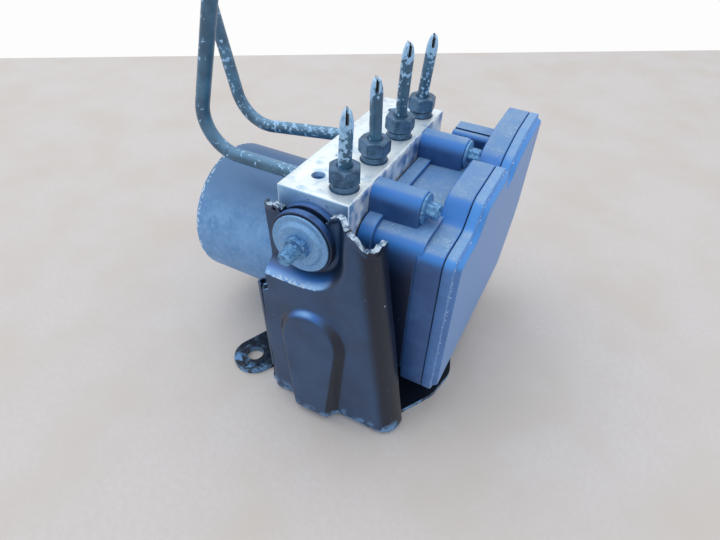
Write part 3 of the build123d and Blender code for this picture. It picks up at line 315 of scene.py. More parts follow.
def zinc_plate(name, base, dark, bright, metallic, grain):
    """Zinc-plated steel gone dull: grey with darker handling marks and small bright rubs."""
    m, t, s, p, _ = finish(name, Metallic=metallic, Roughness=0.42)
    tone = coats(t, base, (patches(t, p, grain, 0.42, 0.66, 4.0), dark), (patches(t, p, 0.9, 0.62, 0.74, 2.0), bright))
    crystals = patches(t, p, 0.6, 0.3, 0.7)
    relief = node(t, "Bump", {"Height": crystals, "Strength": 0.6, "Distance": 0.015 * MM}).outputs[0]
    fill(s, {"Base Color": tone, "Normal": relief})
    return m


def pipe_coat(name, worn, worn_side, tip=400.0, slit=None):
    """Steel pipe under a dark grey-green polymer coat that has flaked off to pale zinc: worn is how much has gone, most
    on the side that faces worn_side, and from tip mm up where the pipe was nipped; what faces up is painted paler as a
    highlight of the sky. slit is a point on the pipe's end and the direction square to its slit, whose inside is
    painted near black as its shade."""
    m, t, s, p, n = finish(name, Roughness=0.3, IOR=1.6)
    noise = node(t, "TexNoise", {"Vector": p, "Scale": 0.42, "Detail": 3.0, "Roughness": 0.6}).outputs[0]
    side = node(t, "VectorMath", {0: n, 1: worn_side}, operation="DOT_PRODUCT").outputs[1]
    nipped = between(t, node(t, "SeparateXYZ", {0: p}).outputs[2], (tip, tip + 5.0))
    level = node(t, "Math", {0: side, 1: 0.10, 2: noise}, operation="MULTIPLY_ADD").outputs[0]
    level = node(t, "Math", {0: nipped, 1: 0.22, 2: level}, operation="MULTIPLY_ADD").outputs[0]
    bare = between(t, level, (0.70 - worn, 0.72 - worn))
    up = node(t, "SeparateXYZ", {0: n}).outputs[2]
    # what faces up is painted paler, a painted highlight of the sky
    tone = coats(t, "#335b76", (patches(t, p, 7.0, 0.35, 0.7), "#477794"), (between(t, up, (0.3, 0.9)), "#5587a8"),
                 (bare, "#a5d0f0"), (product(t, bare, patches(t, p, 1.4, 0.45, 0.7)), "#7aaed6"))
    # the slit's inside is painted near black, as the shade within it
    if slit:
        away = node(t, "VectorMath", {0: p, 1: slit[0]}, operation="SUBTRACT").outputs[0]
        beside = node(t, "VectorMath", {0: away, 1: slit[1]}, operation="DOT_PRODUCT").outputs[1]
        below = node(t, "SeparateXYZ", {0: away}).outputs[2]
        within = between(t, node(t, "Math", {0: beside}, operation="ABSOLUTE").outputs[0],
                         (SLIT_HALF + 0.12, SLIT_HALF + 0.02))
        deep = between(t, below, (-SLIT_DEPTH, 0.4 - SLIT_DEPTH), (-0.1, -0.4))
        tone = coats(t, tone, (product(t, within, deep), "#0a1018"))
    coat = node(t, "Math", {0: 1.0, 1: bare}, operation="SUBTRACT").outputs[0]
    relief = node(t, "Bump", {"Height": coat, "Strength": 0.8, "Distance": 0.1 * MM}).outputs[0]
    fill(s, {"Base Color": tone, "Normal": relief})
    return m


def zinc_dull_can():
    """Deep-drawn steel can, zinc-plated and weathered: matt grey mottle, painted darker on what faces up as shade, with
    a painted highlight in pale patches round the rim of its closed end.
    """
    m, t, s, p, n = finish("zinc_dull_can", Metallic=0.3, Roughness=0.5)
    x, y, z = node(t, "SeparateXYZ", {0: p}).outputs
    high = node(t, "Math", {0: z, 1: MOTOR_Z}, operation="SUBTRACT").outputs[0]
    across_axis = node(t, "CombineXYZ", {1: y, 2: high}).outputs[0]
    radius = node(t, "VectorMath", {0: across_axis}, operation="LENGTH").outputs[1]
    # rim: a painted highlight in pale patches round the rim of the closed end; up: what faces up, painted darker as
    # shade
    rim = product(t, between(t, x, (-72.5, -73.6)), between(t, radius, (29.8, 30.8)), patches(t, p, 1.6, 0.52, 0.60))
    up = between(t, node(t, "SeparateXYZ", {0: n}).outputs[2], (0.3, 0.95))
    tone = coats(t, "#78a8da", (patches(t, p, 7.0, 0.35, 0.68, 6.0, 0.62), "#6092c8"),
                 (patches(t, p, 2.2, 0.45, 0.85, 5.0, 0.65), "#8cb8e2"), (patches(t, p, 1.7, 0.66, 0.76), "#4f7aa8"),
                 (up, "#52769e"), (rim, "#cfe4f5"))
    bloom = patches(t, p, 0.8, 0.3, 0.7, 4.0)
    relief = node(t, "Bump", {"Height": bloom, "Strength": 0.6, "Distance": 0.03 * MM}).outputs[0]
    fill(s, {"Base Color": tone, "Normal": relief})
    return m


def glass_filled_nylon(name, base, dark, face, sheen, dust):
    """Black glass-filled polyamide, moulded and aged: matt and dark on its sides, its broad face painted paler for the
    light it catches, a painted blue sheen on its upper flanks, painted shade on the body's side below its top, grey
    dust with pale specks on what faces up."""
    m, t, s, p, n = finish(name, Roughness=0.45, IOR=1.53)
    outward, _, up = node(t, "SeparateXYZ", {0: n}).outputs
    haze = patches(t, p, 9.0, 0.30, 0.72, 5.0)
    lying = product(t, between(t, up, (0.82, 0.97)),
                    node(t, "Math", {0: haze, 1: 0.35, 2: 0.65}, operation="MULTIPLY_ADD").outputs[0])
    x, _, z = node(t, "SeparateXYZ", {0: p}).outputs
    # the first mask below is painted shade on the body's side below its top; ledge: the step round the lid's face, with
    # its row of pale specks. In the tone, face paints the broad face paler for the light it catches, and sheen is a
    # painted highlight on the upper flanks
    side_shade = product(t, between(t, x, (39.15, 38.4)), between(t, z, (93.0, 76.0)), between(t, up, (0.4, 0.1)))
    ledge = product(t, between(t, x, (53.0, 53.3), (54.4, 53.9)), patches(t, p, 1.0, 0.60, 0.68, 2.0))
    tone = coats(t, base, (haze, dark), (side_shade, "#0f1d38"), (between(t, outward, (0.75, 0.95)), face),
                 (between(t, up, (0.15, 0.7)), sheen), (lying, dust), (ledge, "#b5d2ee"),
                 (product(t, lying, haze, patches(t, p, 0.55, 0.56, 0.70, 2.0)), "#c4dcee"),
                 (patches(t, p, 0.9, 0.74, 0.78, 2.0), "#a9c8e6"))
    texture = patches(t, p, 0.5, 0.3, 0.7)
    relief = node(t, "Bump", {"Height": texture, "Strength": 0.6, "Distance": 0.025 * MM}).outputs[0]
    fill(s, {"Base Color": tone, "Normal": relief})
    return m


def satin_black_paint():
    """Dip-painted steel sheet: satin black gone slate blue, with the sky's reflection and a glint painted where the
    recess's lip and the pad's arch lean up, painted shade where it turns to either side and on the base plate behind
    the wall, rubbed pale along the shelf under the washer and where it stands, bare along its torn edges, and chipped."""
    m, t, s, p, n = finish("satin_black_paint", Roughness=0.33, IOR=1.5)
    x, y, z = node(t, "SeparateXYZ", {0: p}).outputs
    up = node(t, "SeparateXYZ", {0: n}).outputs
    fine = patches(t, p, 1.8, 0.40, 0.62, 4.0)
    # flank: what of the front leans to the sky, the recess's lower lip and the pad's arch, painted paler as the sky's
    # reflection, with a painted glint on its crest; shelf: rubs along the shelf under the washer. plate is painted
    # shade on the base plate behind the wall, and the other masks are the places that they are named for
    flank = product(t, between(t, up[2], (0.35, 0.72)), between(t, z, (12.0, 20.0)), between(t, up[0], (0.5, 0.1)),
                    between(t, y, (-51.0, -56.5)), between(t, x, (-17.0, -14.5), (17.0, 7.0)))
    glint = product(t, flank, between(t, up[0], (0.15, -0.1)), between(t, up[2], (0.5, 0.68)),
                    between(t, y, (-54.5, -57.5)))
    shelf = product(t, between(t, up[2], (0.35, 0.6)), between(t, z, (62.0, 64.0), (76.0, 72.0)),
                    between(t, y, (-56.6, -57.6)), between(t, x, (-16.8, -15.8)), patches(t, p, 1.2, 0.48, 0.56, 4.0))
    torn_edge = product(t, between(t, z, (93.0, 95.0)), between(t, up[2], (0.35, 0.6)))
    foot = product(t, between(t, z, (9.0, 3.5)), between(t, y, (-50.0, -54.0)), patches(t, p, 4.5, 0.46, 0.60, 5.0))
    ear = product(t, between(t, x, (-21.0, -25.0)), between(t, z, (8.0, 6.0)))
    plate = product(t, between(t, z, (5.0, 4.2)), between(t, y, (-54.0, -52.0)), between(t, up[2], (0.5, 0.8)))
    rim = product(t, between(t, z, (3.5, 2.5)), between(t, up[2], (0.6, 0.3)), patches(t, p, 3.0, 0.40, 0.56, 5.0))
    dirt = product(t, ear, patches(t, p, 3.0, 0.48, 0.72, 5.0))
    # the faces turned towards +X and -X, round the wall's bends, are painted darker as shade
    tone = coats(t, "#2a4a70", (patches(t, p, 15.0, 0.35, 0.7, 4.0), "#213e60"),
                 (between(t, up[0], (0.15, 0.6)), "#0b182c"), (between(t, up[0], (-0.1, -0.7)), "#12233b"),
                 (flank, "#3478c8"), (glint, "#8fc4f4"), (shelf, "#bfdcf5"), (ear, "#0e1722"), (plate, "#0c1522"),
                 (rim, "#6c9cca"), (dirt, "#3f5466"), (foot, "#6795c2"), (torn_edge, "#5f7890"),
                 (product(t, torn_edge, fine), "#c2d6e4"), (patches(t, p, 1.5, 0.72, 0.735, 4.0, 0.6), "#a5c9ea"))
    runs = patches(t, p, 0.9, 0.3, 0.7)
    relief = node(t, "Bump", {"Height": runs, "Strength": 0.6, "Distance": 0.02 * MM}).outputs[0]
    fill(s, {"Base Color": tone, "Normal": relief})
    return m


def mount_rubber():
    """Natural rubber, black, painted blue on what faces up as a reflection of the sky."""
    m, t, s, p, n = finish("mount_rubber", Roughness=0.5, IOR=1.52)
    # what faces up is painted blue, a painted reflection of the sky
    bloom = between(t, node(t, "SeparateXYZ", {0: n}).outputs[2], (0.0, 0.9))
    tone = coats(t, "#13213a", (bloom, "#35639f"), (patches(t, p, 3.0, 0.45, 0.75, 4.0), "#24406a"))
    skin = patches(t, p, 0.6, 0.3, 0.7)
    relief = node(t, "Bump", {"Height": skin, "Strength": 0.6, "Distance": 0.03 * MM}).outputs[0]
    fill(s, {"Base Color": tone, "Normal": relief})
    return m


def plain_finish(name, base, other, grain, metallic, roughness):
    """A simple inner finish: two close tones in patches of that grain in mm, with slight relief."""
    m, t, s, p, _ = finish(name, Metallic=metallic, Roughness=roughness)
    tone = coats(t, base, (patches(t, p, grain, 0.35, 0.65, 4.0), other))
    fine = patches(t, p, grain / 3, 0.3, 0.7)
    relief = node(t, "Bump", {"Height": fine, "Strength": 0.6, "Distance": 0.02 * MM}).outputs[0]
    fill(s, {"Base Color": tone, "Normal": relief})
    return m


FINISH = {
    "machined_alloy": milled_aluminium(),
    "plated_nut_steel": zinc_plate("dark_zinc_nut", "#4f7190", "#3a5872", "#7499b6", 0.45, 4.0),
    "coated_pipe": pipe_coat("pipe_coat_worn", 0.10, (-0.6, -0.6, 0.5)),
    "motor_steel": zinc_dull_can(),
    "housing_plastic": glass_filled_nylon("glass_filled_nylon_housing", "#325c92", "#284c80", "#305890", "#2f7ccb",
                                          "#7298bd"),
    "cover_plastic": glass_filled_nylon("glass_filled_nylon_cover", "#4f7fbd", "#446fa8", "#7099cf", "#418fdb",
                                        "#7ea6cd"),
    "black_paint": satin_black_paint(),
    "mount_rubber": mount_rubber(),
    "washer_steel": zinc_plate("dull_zinc_washer", "#7fb0de", "#6b98c4", "#a9cfee", 0.35, 0.9),
    "screw_steel": zinc_plate("zinc_screw", "#6aa0ce", "#44719c", "#b9daf2", 0.5, 1.2),
    "magnetic_steel": plain_finish("ground_magnetic_steel", "#a8b0b8", "#8f979f", 1.5, 1.0, 0.35),
    "coil_plastic": plain_finish("coil_potting", "#1c1f24", "#24282e", 3.0, 0.0, 0.5),
    "ferrite": plain_finish("sintered_ferrite", "#2c2c30", "#38383c", 1.0, 0.0, 0.7),
    "bush_bronze": plain_finish("oiled_bronze", "#8a6236", "#6e4c28", 1.0, 1.0, 0.4),
    "bearing_steel": plain_finish("ground_bearing_steel", "#b9bec4", "#a3a9b0", 2.0, 1.0, 0.25),
    "plate_plastic": plain_finish("brush_plate_phenolic", "#3a2f26", "#2e251e", 2.0, 0.0, 0.55),
    "brush_carbon": plain_finish("pressed_carbon", "#26262a", "#323238", 0.6, 0.3, 0.6),
    "copper": plain_finish("drawn_copper", "#b06a3c", "#94522c", 1.2, 1.0, 0.35),
    "spring_steel": plain_finish("drawn_spring_wire", "#7e858c", "#686e75", 0.8, 1.0, 0.35),
    "seal_rubber": plain_finish("seal_rubber", "#0d0f13", "#16191f", 1.0, 0.0, 0.6),
    "board_laminate": plain_finish("solder_mask_laminate", "#1e5a34", "#174a2a", 4.0, 0.0, 0.4),
    "component_black": plain_finish("moulded_package", "#15171a", "#1f2226", 1.0, 0.0, 0.45),
    "tinned_pin": plain_finish("bright_tin", "#c3c9cd", "#aab1b6", 0.8, 1.0, 0.3),
}
SLOT_OF = {s["node"]: s["material_slot"] for s in frame["record"]["subparts"]}
for name, held in frame["nodes"].items():
    held.data.materials.clear()
    held.data.materials.append(FINISH[SLOT_OF[name]])


# ---------------- hydraulic block
block = finished("valve_block", frame["nodes"]["hydraulic_block"].data.copy(), "machined_alloy", "hydraulic_block")
edge = block.modifiers.new("edge", "BEVEL")  # its sharp edges are broken by 0.3 mm
edge.width, edge.segments, edge.limit_method = 0.3 * MM, 2, "ANGLE"
edge.angle_limit, edge.use_clamp_overlap = np.radians(50), True


# ---------------- tube nuts
ON_FLAT = 99.0  # marks the rows of a profile that follow a hexagon
NUT_BOTTOM, WHEEL_NUT_TOP, MASTER_NUT_TOP = -9.5, 8.9, 4.6


def hexagon(t, flats, turn):
    """Radius of a hexagon of that size across flats at angle t, its flats square to turn."""
    return flats / 2 / np.cos((t - turn + np.pi / 6) % (np.pi / 3) - np.pi / 6)


def tube_nut(place, axis, collar, top, bore, turn, flats=11.0, thread=5.05, mouth=0.7):
    """A collared hexagon nut: the profile of its thread, rounded collar, groove, hexagon, top face and bore carried
    round the axis, where the hexagon's radius is the smaller of its flat and of a cone of 30 degrees at each end."""
    face, groove = flats / 2 * 0.95, thread - 0.6
    profile = np.array([(NUT_BOTTOM, bore), (top - mouth, bore), (top, bore + mouth), (top, face - 0.3)]
                       + [(along, ON_FLAT) for along in np.linspace(top, collar, 22)]
                       + [(collar, groove), (collar - 0.45, groove), (collar - 0.6, thread - 0.2),
                          (collar - 0.9, thread), (NUT_BOTTOM, thread)])

    def radius_at(along, r, t):
        cone = np.minimum(face + (top - along) * 1.4, thread + 0.3 + (along - collar) * 1.6)
        return np.where(r >= ON_FLAT, np.minimum(hexagon(t, flats, turn), cone), r)
    return turned(profile, place, axis, 144, radius_at)


wheel_nuts = [tube_nut((x, y, BLOCK_TOP), Z, 2.9, WHEEL_NUT_TOP, 2.55, turn)
              for (x, y), turn in zip(WHEEL_PORTS, np.radians([58.0, 28.0, 34.0, 40.0]))]
piece("wheel_pipe_nuts", wheel_nuts, "plated_nut_steel", "wheel_tube_nuts", smooth=24)
master_nuts = [tube_nut((MOTOR_FACE, y, z), -X, 0.0, MASTER_NUT_TOP, 3.15, 0.0) for y, z in MASTER_PORTS]
piece("master_pipe_nuts", master_nuts, "plated_nut_steel", "master_tube_nuts", smooth=24)


# ---------------- brake pipes
def bent_path(corners, radius, arc_step=0.7, run_step=1.5, fine_end=7.0):
    """Points along straight runs joined by arcs, and how far each lies from the end: at each corner the arc of that
    radius touches both runs, and the points lie close together over the last fine_end mm."""
    corners = np.asarray(corners, float)
    out = [corners[:1]]
    for a, b, c in zip(corners[:-2], corners[1:-1], corners[2:]):
        u, v = (b - a) / np.linalg.norm(b - a), (c - b) / np.linalg.norm(c - b)
        angle = np.arccos(np.clip(u @ v, -1, 1))
        if angle < 1e-4:
            continue
        inward = v - u * (u @ v)
        inward /= np.linalg.norm(inward)
        start = b - u * radius * np.tan(angle / 2)
        s = np.linspace(0, angle, max(3, int(radius * angle / arc_step)))[:, None]
        out.append(start + radius * (np.sin(s) * u + (1 - np.cos(s)) * inward))
    out.append(corners[-1:])
    runs = np.concatenate(out)
    length = np.concatenate([[0], np.cumsum(np.linalg.norm(np.diff(runs, axis=0), axis=1))])
    keep = np.concatenate([[True], np.diff(length) > 1e-6])
    runs, length = runs[keep], length[keep]
    s = np.unique(np.concatenate([length, np.arange(0, length[-1], run_step),
                                  length[-1] - np.linspace(0, fine_end, 30)]))
    s = s[s >= 0]
    return np.stack([np.interp(s, length, runs[:, k]) for k in range(3)], 1), length[-1] - s


def pinched_pipe(corners, bend, outer, lips, slit_depth=SLIT_DEPTH, pinch=5.5, lip=1.15, nose=0.6, web=0.04):
    """A pipe nipped off at its end. A ring of points is carried along the path: half its width along lips stays
    the pipe's, half its thickness square to them falls along a parabola from the pipe's radius to the lip over
    pinch mm, both round off over the last nose mm, and a slit runs in from both edges between the two lips, down
    to a thin web."""
    path, left = bent_path(corners, bend)
    ahead = np.gradient(path, axis=0)
    ahead /= np.linalg.norm(ahead, axis=1)[:, None]
    lips = np.asarray(lips, float)
    wide = lips - (ahead @ lips)[:, None] * ahead
    wide /= np.linalg.norm(wide, axis=1)[:, None]
    thin = np.cross(ahead, wide)
    r = outer / 2
    taper = 1 - (1 - np.clip(left / pinch, 0, 1)) ** 2
    blunt = np.sqrt(np.clip(1 - (1 - np.clip(left / nose, 0, 1)) ** 2, 0.4, 1))
    thick, width = (lip + (r - lip) * taper) * blunt, (r * (1 + 0.10 * (1 - taper))) * (0.88 + 0.12 * blunt)
    gap = np.clip(slit_depth - left, 0, 1) * SLIT_HALF
    t = np.linspace(0, np.pi, 29)
    into_slit = np.array([1.0, 0.5, web])
    ring_x, ring_y, lip_side = [], [], []  # the ring, and which lip a point in the slit is on
    for sign in (1, -1):
        ring_x += [np.cos(t) * sign, -sign * into_slit, -sign * into_slit[::-1]]
        ring_y += [np.sin(t) * sign, np.zeros(6)]
        lip_side += [np.zeros(len(t)), np.full(3, sign), np.full(3, -sign)]
    ring_x, ring_y, lip_side = (np.concatenate(values)[None] for values in (ring_x, ring_y, lip_side))
    in_slit, slit_open = lip_side != 0, (gap > 1e-9)[:, None]
    x = np.where(in_slit & ~slit_open, np.sign(ring_x), ring_x) * width[:, None]
    y = ring_y * thick[:, None]
    y = np.where(np.abs(y) < gap[:, None], np.where(in_slit, lip_side, np.sign(ring_y)) * gap[:, None], y)
    y = np.where(in_slit, lip_side * gap[:, None], y)
    points = path[:, None] + x[..., None] * wide[:, None] + y[..., None] * thin[:, None]
    return grid(points, loop_columns=True, capped=True)


# each wheel pipe: its height above the block, its lean in mm, the turn of its nipped end, how much of its coat is
# gone, and the side that wore most
WHEEL_PIPES = ((29.0, 0.6, -62.0, 0.22, (-0.9, 0.0, 0.1)), (31.5, -0.6, -58.0, 0.08, (-0.8, 0.2, 0.1)),
               (37.4, 0.9, -56.0, 0.14, (-0.9, 0.2, 0.1)), (34.6, 2.0, -70.0, 0.10, (0.5, -0.6, 0.1)))
WHEEL_OUTER, MASTER_OUTER = 4.8, 6.0
for i, ((x, y), (height, lean, turn, worn, side)) in enumerate(zip(WHEEL_PORTS, WHEEL_PIPES), 1):
    tip, turn = (x + lean, y, BLOCK_TOP + height), np.radians(turn)
    route = [(x, y, BLOCK_TOP - 11.0), (x, y, BLOCK_TOP + WHEEL_NUT_TOP + 1.0), tip]
    coat = pipe_coat(f"pipe_coat_{i}", worn, side, tip[2] - 9.0, (tip, (-np.sin(turn), np.cos(turn), 0.0)))
    piece(f"wheel_brake_pipe_{i}", [pinched_pipe(route, 18.0, WHEEL_OUTER, (np.cos(turn), np.sin(turn), 0.0))],
          "coated_pipe", f"wheel_pipe_{i}", material=coat)

# each master-cylinder pipe: how far its lower run reaches and drops, its bend's radius, its upper run's lean and top,
# how much of its coat is gone, and the side that wore most
MASTER_PIPES = (("front", 59.9, 0.0, 15.8, 0.29, 168.0, 0.02, (-0.3, -0.5, 0.8)),
                ("rear", 65.0, 7.4, 18.0, -0.235, 161.0, 0.08, (-0.2, -0.5, 0.8)))
for (y, z), (end, reach, drop, bend, lean, top, worn, side) in zip(MASTER_PORTS, MASTER_PIPES):
    corner = (MOTOR_FACE - reach, y, z - drop)
    route = [(MOTOR_FACE + 11.0, y, z), (MOTOR_FACE - MASTER_NUT_TOP - 8.0, y, z), corner,
             (corner[0] + lean * (top - z + drop), y, top)]
    piece(f"{end}_master_brake_pipe", [pinched_pipe(route, bend, MASTER_OUTER, (1.0, 0.0, -lean), slit_depth=0.0)],
          "coated_pipe", f"{end}_master_pipe", material=pipe_coat(f"master_pipe_coat_{end}", worn, side))


# ---------------- motor
can = rounded([(2.2, 31.0), (2.2, 34.6), (0.2, 34.6), (0.2, 32.8), (-61.0, 32.8), (-61.0, 9.0), (-64.0, 9.0),
               (-64.0, 0.0), (-62.2, 0.0), (-62.2, 7.2), (-59.2, 7.2), (-59.2, 31.0)],
              [0.05, 0.3, 0.3, 0.4, 3.4, 1.2, 1.4, 0.001, 0.001, 0.6, 0.6, 2.0])
piece("motor_case", [turned(can, (MOTOR_FACE, 0, MOTOR_Z), X, 192)], "motor_steel", "motor_can")


# ---------------- control unit
def moulded(outline, profile):
    """A closed solid along X: an outline in (Y, Z) drawn in by an inset for each (x, inset) of the profile. Each
    point moves along (n1 + n2) / (1 + n1 . n2), where n1 and n2 are the inward normals of its two edges."""
    edge = np.roll(outline, -1, 0) - outline
    normal = np.stack([-edge[:, 1], edge[:, 0]], 1) / np.linalg.norm(edge, axis=1)[:, None]
    area = np.sum(outline[:, 0] * np.roll(outline[:, 1], -1) - np.roll(outline[:, 0], -1) * outline[:, 1])
    after, before = normal * np.sign(area), np.roll(normal, 1, 0) * np.sign(area)
    inward = (before + after) / (1 + np.sum(before * after, 1))[:, None]
    x, inset = np.asarray(profile, float).T
    plan = outline[None] + inset[:, None, None] * inward[None]
    return grid(np.concatenate([np.repeat(x[:, None], len(outline), 1)[..., None], plan], -1), loop_columns=True,
                capped=True)


def edged(start, end, start_round, end_round):
    """Profile of a straight side whose two ends turn in along quarter circles: (x, inset)."""
    t = np.linspace(0, np.pi / 2, 6)
    first = np.stack([start + start_round * (1 - np.sin(t[::-1])), start_round * (1 - np.cos(t[::-1]))], 1)
    last = np.stack([end - end_round * (1 - np.sin(t)), end_round * (1 - np.cos(t))], 1)
    return np.concatenate([first, last])


def keyhole(y, z, radius, foot):
    """A round boss with straight flanks to a foot at height foot: half a circle, then two straight sides."""
    t = np.linspace(0, np.pi, 33) if foot < z else np.linspace(np.pi, 2 * np.pi, 33)
    arc = np.stack([y + radius * np.cos(t), z + radius * np.sin(t)], 1)
    return np.concatenate([arc, [(arc[-1, 0], foot), (arc[0, 0], foot)]])


BODY = rounded([(-41.2, 19.6), (-41.2, 92.2), (-21.0, 92.2), (-12.5, 101.4), (19.0, 101.4), (19.0, 94.0),
                (25.5, 94.0), (31.5, 98.6), (41.0, 101.0), (52.0, 102.8), (78.5, 102.8), (78.5, 48.0), (58.0, 19.6)],
               [5.6, 6.5, 3.6, 4.2, 5.6, 1.2, 2.0, 12.0, 30.0, 30.0, 5.6, 8.0, 6.0], 10)
NECK = rounded([(-41.2, 26.0), (-41.2, 94.8), (41.5, 94.8), (41.5, 26.0)], [3.6, 9.6, 3.6, 3.6], 12)
COLLAR = rounded([(-42.2, 25.0), (-42.2, 95.8), (42.5, 95.8), (42.5, 25.0)], [4.4, 10.6, 4.4, 4.4], 12)
case = [moulded(BODY, edged(39.2, 49.1, 0.7, 0.5)), moulded(NECK, [(15.8, 1.2), (41.0, 0.3)]),
        moulded(COLLAR, edged(15.8, 21.5, 0.3, 0.5))]
case += [moulded(keyhole(y, z, boss, foot), edged(UNIT_FACE, SCREW_SEAT, 0.3, 0.7))
         for y, z, boss, foot, _, _ in SCREWS]
# the connector's shroud is the part of the solid with Y from 46 to 68, Z from 58 and X up to 39
case += [cut_away("ecu_housing", ((0, -60, 0), (60, 46, 120)), ((0, 40, 0), (60, 90, 58)),
                  ((39, 40, 0), (60, 90, 120)), ((0, 68, 0), (60, 90, 120)))]
tab = np.array([(49.5, 17.2), (53.0, 17.2), (53.0, 21.0), (49.5, 21.0)])
case += [moulded(tab, [(45.0, 0.0), (49.0, 0.0)])]
piece("control_unit_case", case, "housing_plastic", "ecu_housing", smooth=40)
lid = [(49.5, 0.4), (49.55, 0.15), (49.75, 0.0), (52.9, 0.0), (53.2, 0.07), (53.4, 0.22), (53.5, 0.5), (53.5, 1.45),
       (53.56, 1.6), (53.72, 1.75), (55.1, 2.55), (55.42, 2.82), (55.62, 3.15), (55.7, 3.55), (55.7, 3.8)]
piece("control_unit_lid", [moulded(BODY, lid)], "cover_plastic", "ecu_cover", smooth=40)


def lobed_screw(y, z, flange, length):
    """A screw turned about X, whose head's radius swells and narrows six times: r * (1 + 0.09 cos 6t)."""
    profile = rounded([(-length, 0.0), (-length, 2.45), (0.0, 2.45), (0.0, flange), (0.9, flange), (1.3, 3.6),
                       (1.4, 3.0), (5.6, 3.0), (5.6, 1.6), (4.4, 1.3), (4.4, 0.0)],
                      [0.01, 0.3, 0.01, 0.3, 0.3, 0.1, 0.1, 0.5, 0.1, 0.1, 0.01])

    def radius_at(along, r, t):
        return np.where((along > 1.35) & (r > 2.0), r * (1 + 0.09 * np.cos(6 * t)), r)
    return turned(profile, (SCREW_SEAT, y, z), X, 96, radius_at)


piece("control_unit_screws", [lobed_screw(y, z, flange, length) for y, z, _, _, flange, length in SCREWS],
      "screw_steel", "ecu_screws")


# ---------------- springs that their pistons press
def pressed_spring(solid, axis, wire, turns):
    """A coil spring of round wire in its solid's place: the wire's centre winds along the axis, half a turn lying flat
    at each end."""
    points = surface(frame["nodes"][solid].data)[0]
    low, high = points.min(0), points.max(0)
    along = np.argmax(np.abs(axis))
    length, radius = high[along] - low[along], (high - low)[(along + 1) % 3] / 2 - wire / 2
    seat = (low + high) / 2 - np.asarray(axis) * length / 2
    u, v = across(axis)
    t = np.linspace(0, turns, turns * 28 + 1)[:, None]
    out = np.cos(2 * np.pi * t) * u + np.sin(2 * np.pi * t) * v
    climb = wire / 2 + (length - wire) * np.clip((t - 0.5) / (turns - 1), 0, 1)
    centre = seat + climb * np.asarray(axis) + radius * out
    a = np.linspace(0, 2 * np.pi, 12, endpoint=False)[:, None]
    ring = centre[:, None] + wire / 2 * (np.cos(a) * out[:, None] + np.sin(a) * np.asarray(axis))
    made = piece(f"{solid}_coil", [grid(ring, loop_columns=True, capped=True)], "spring_steel", solid)
    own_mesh(made)


for end, side in (("front", -1.0), ("rear", 1.0)):
    pressed_spring(f"pump_spring_{end}", side * Y, wire=1.1, turns=4)
    pressed_spring(f"accumulator_spring_{end}", Z, wire=1.4, turns=5)


# ---------------- bracket: base plate, drawn and torn wall
# the base plate is the bracket's solid less its front and, above the sheet, both flanges and the recess
base_plate = cut_away("bracket", ((-23, -90, -5), (80, -55, 130)), ((-26, -90, 2.3), (-13, -47.9, 130)),
                      ((40, -90, 2.3), (60, -47.9, 130)), ((-80, -90, 9.2), (80, -40, 130)))
SHEET, WALL_Y, FLANGE_Y, LEFT_BEND, RIGHT_BEND = 2.3, -58.5, -48.0, 3.5, 9.0
SLOT_R, FOOT_TO, FLANGE_TOP, FINE_FROM, FINE_TO = 9.0, 6.8, 62.8, 70.5, 77.0
LEFT_EDGE, RIGHT_EDGE = ((0, 112), (-16.5, -22.0)), ((0, 112), (46.0, 28.4))  # heights and X of the wall's sides
FRONT_LINE = 20.2  # X of the front's upright line at c = 5
POCKET_X, POCKET_R, POCKET_DEPTH, POCKET_LIP = 2.8, 17.5, 7.2, 0.9
POCKET_FLANK, POCKET_SPREAD, POCKET_EASE = 3.6, 2.6, 2.0  # its flank under the stud, more beside it, its ends
PAD_X, PAD_ARCH_Z, PAD_HALF, PAD_ARCH = 6.1, 45.0, 15.65, 18.0
PAD_TOP, PAD_RISE, PAD_SLOPE, PAD_FLANK, PAD_LIP, CHIN = 61.0, 2.7, 0.0568, 5.2, 0.6, 6.0
PAD_LEFT, PAD_RIGHT = ((-4, 44), (-3.0, -9.5)), ((-4, 46), (18.0, 21.8))  # heights and X of the pad's sides
FOOT_ROUND = ((-16, 0), (1.6, 3.4))  # X and radius of the round along the wall's foot
TEAR = 4.0  # how far down the tear bent the sheet outwards
TORN_SIDE = ((66.0, 68.6, 70.2, 75.0, 88.0, 97.0, 101.0), (-14.0, -14.3, -13.9, -15.6, -16.2, -17.0, -16.8))
TORN_TOP = ((-16.8, -14.8, -12.0, -9.0, 9.0, 11.0, 14.6, 18.2, 21.0, 24.0, 26.0, 28.8, 31.6),
            (100.6, 99.8, 101.6, 101.0, 100.0, 103.4, 105.6, 106.2, 104.4, 103.0, 99.8, 98.0, 99.6))


def eased(value):
    """Rises from 0 to 1 as value does: v^3 (10 - 15 v + 6 v^2)."""
    v = np.clip(value, 0, 1)
    return v ** 3 * (10 - 15 * v + 6 * v ** 2)


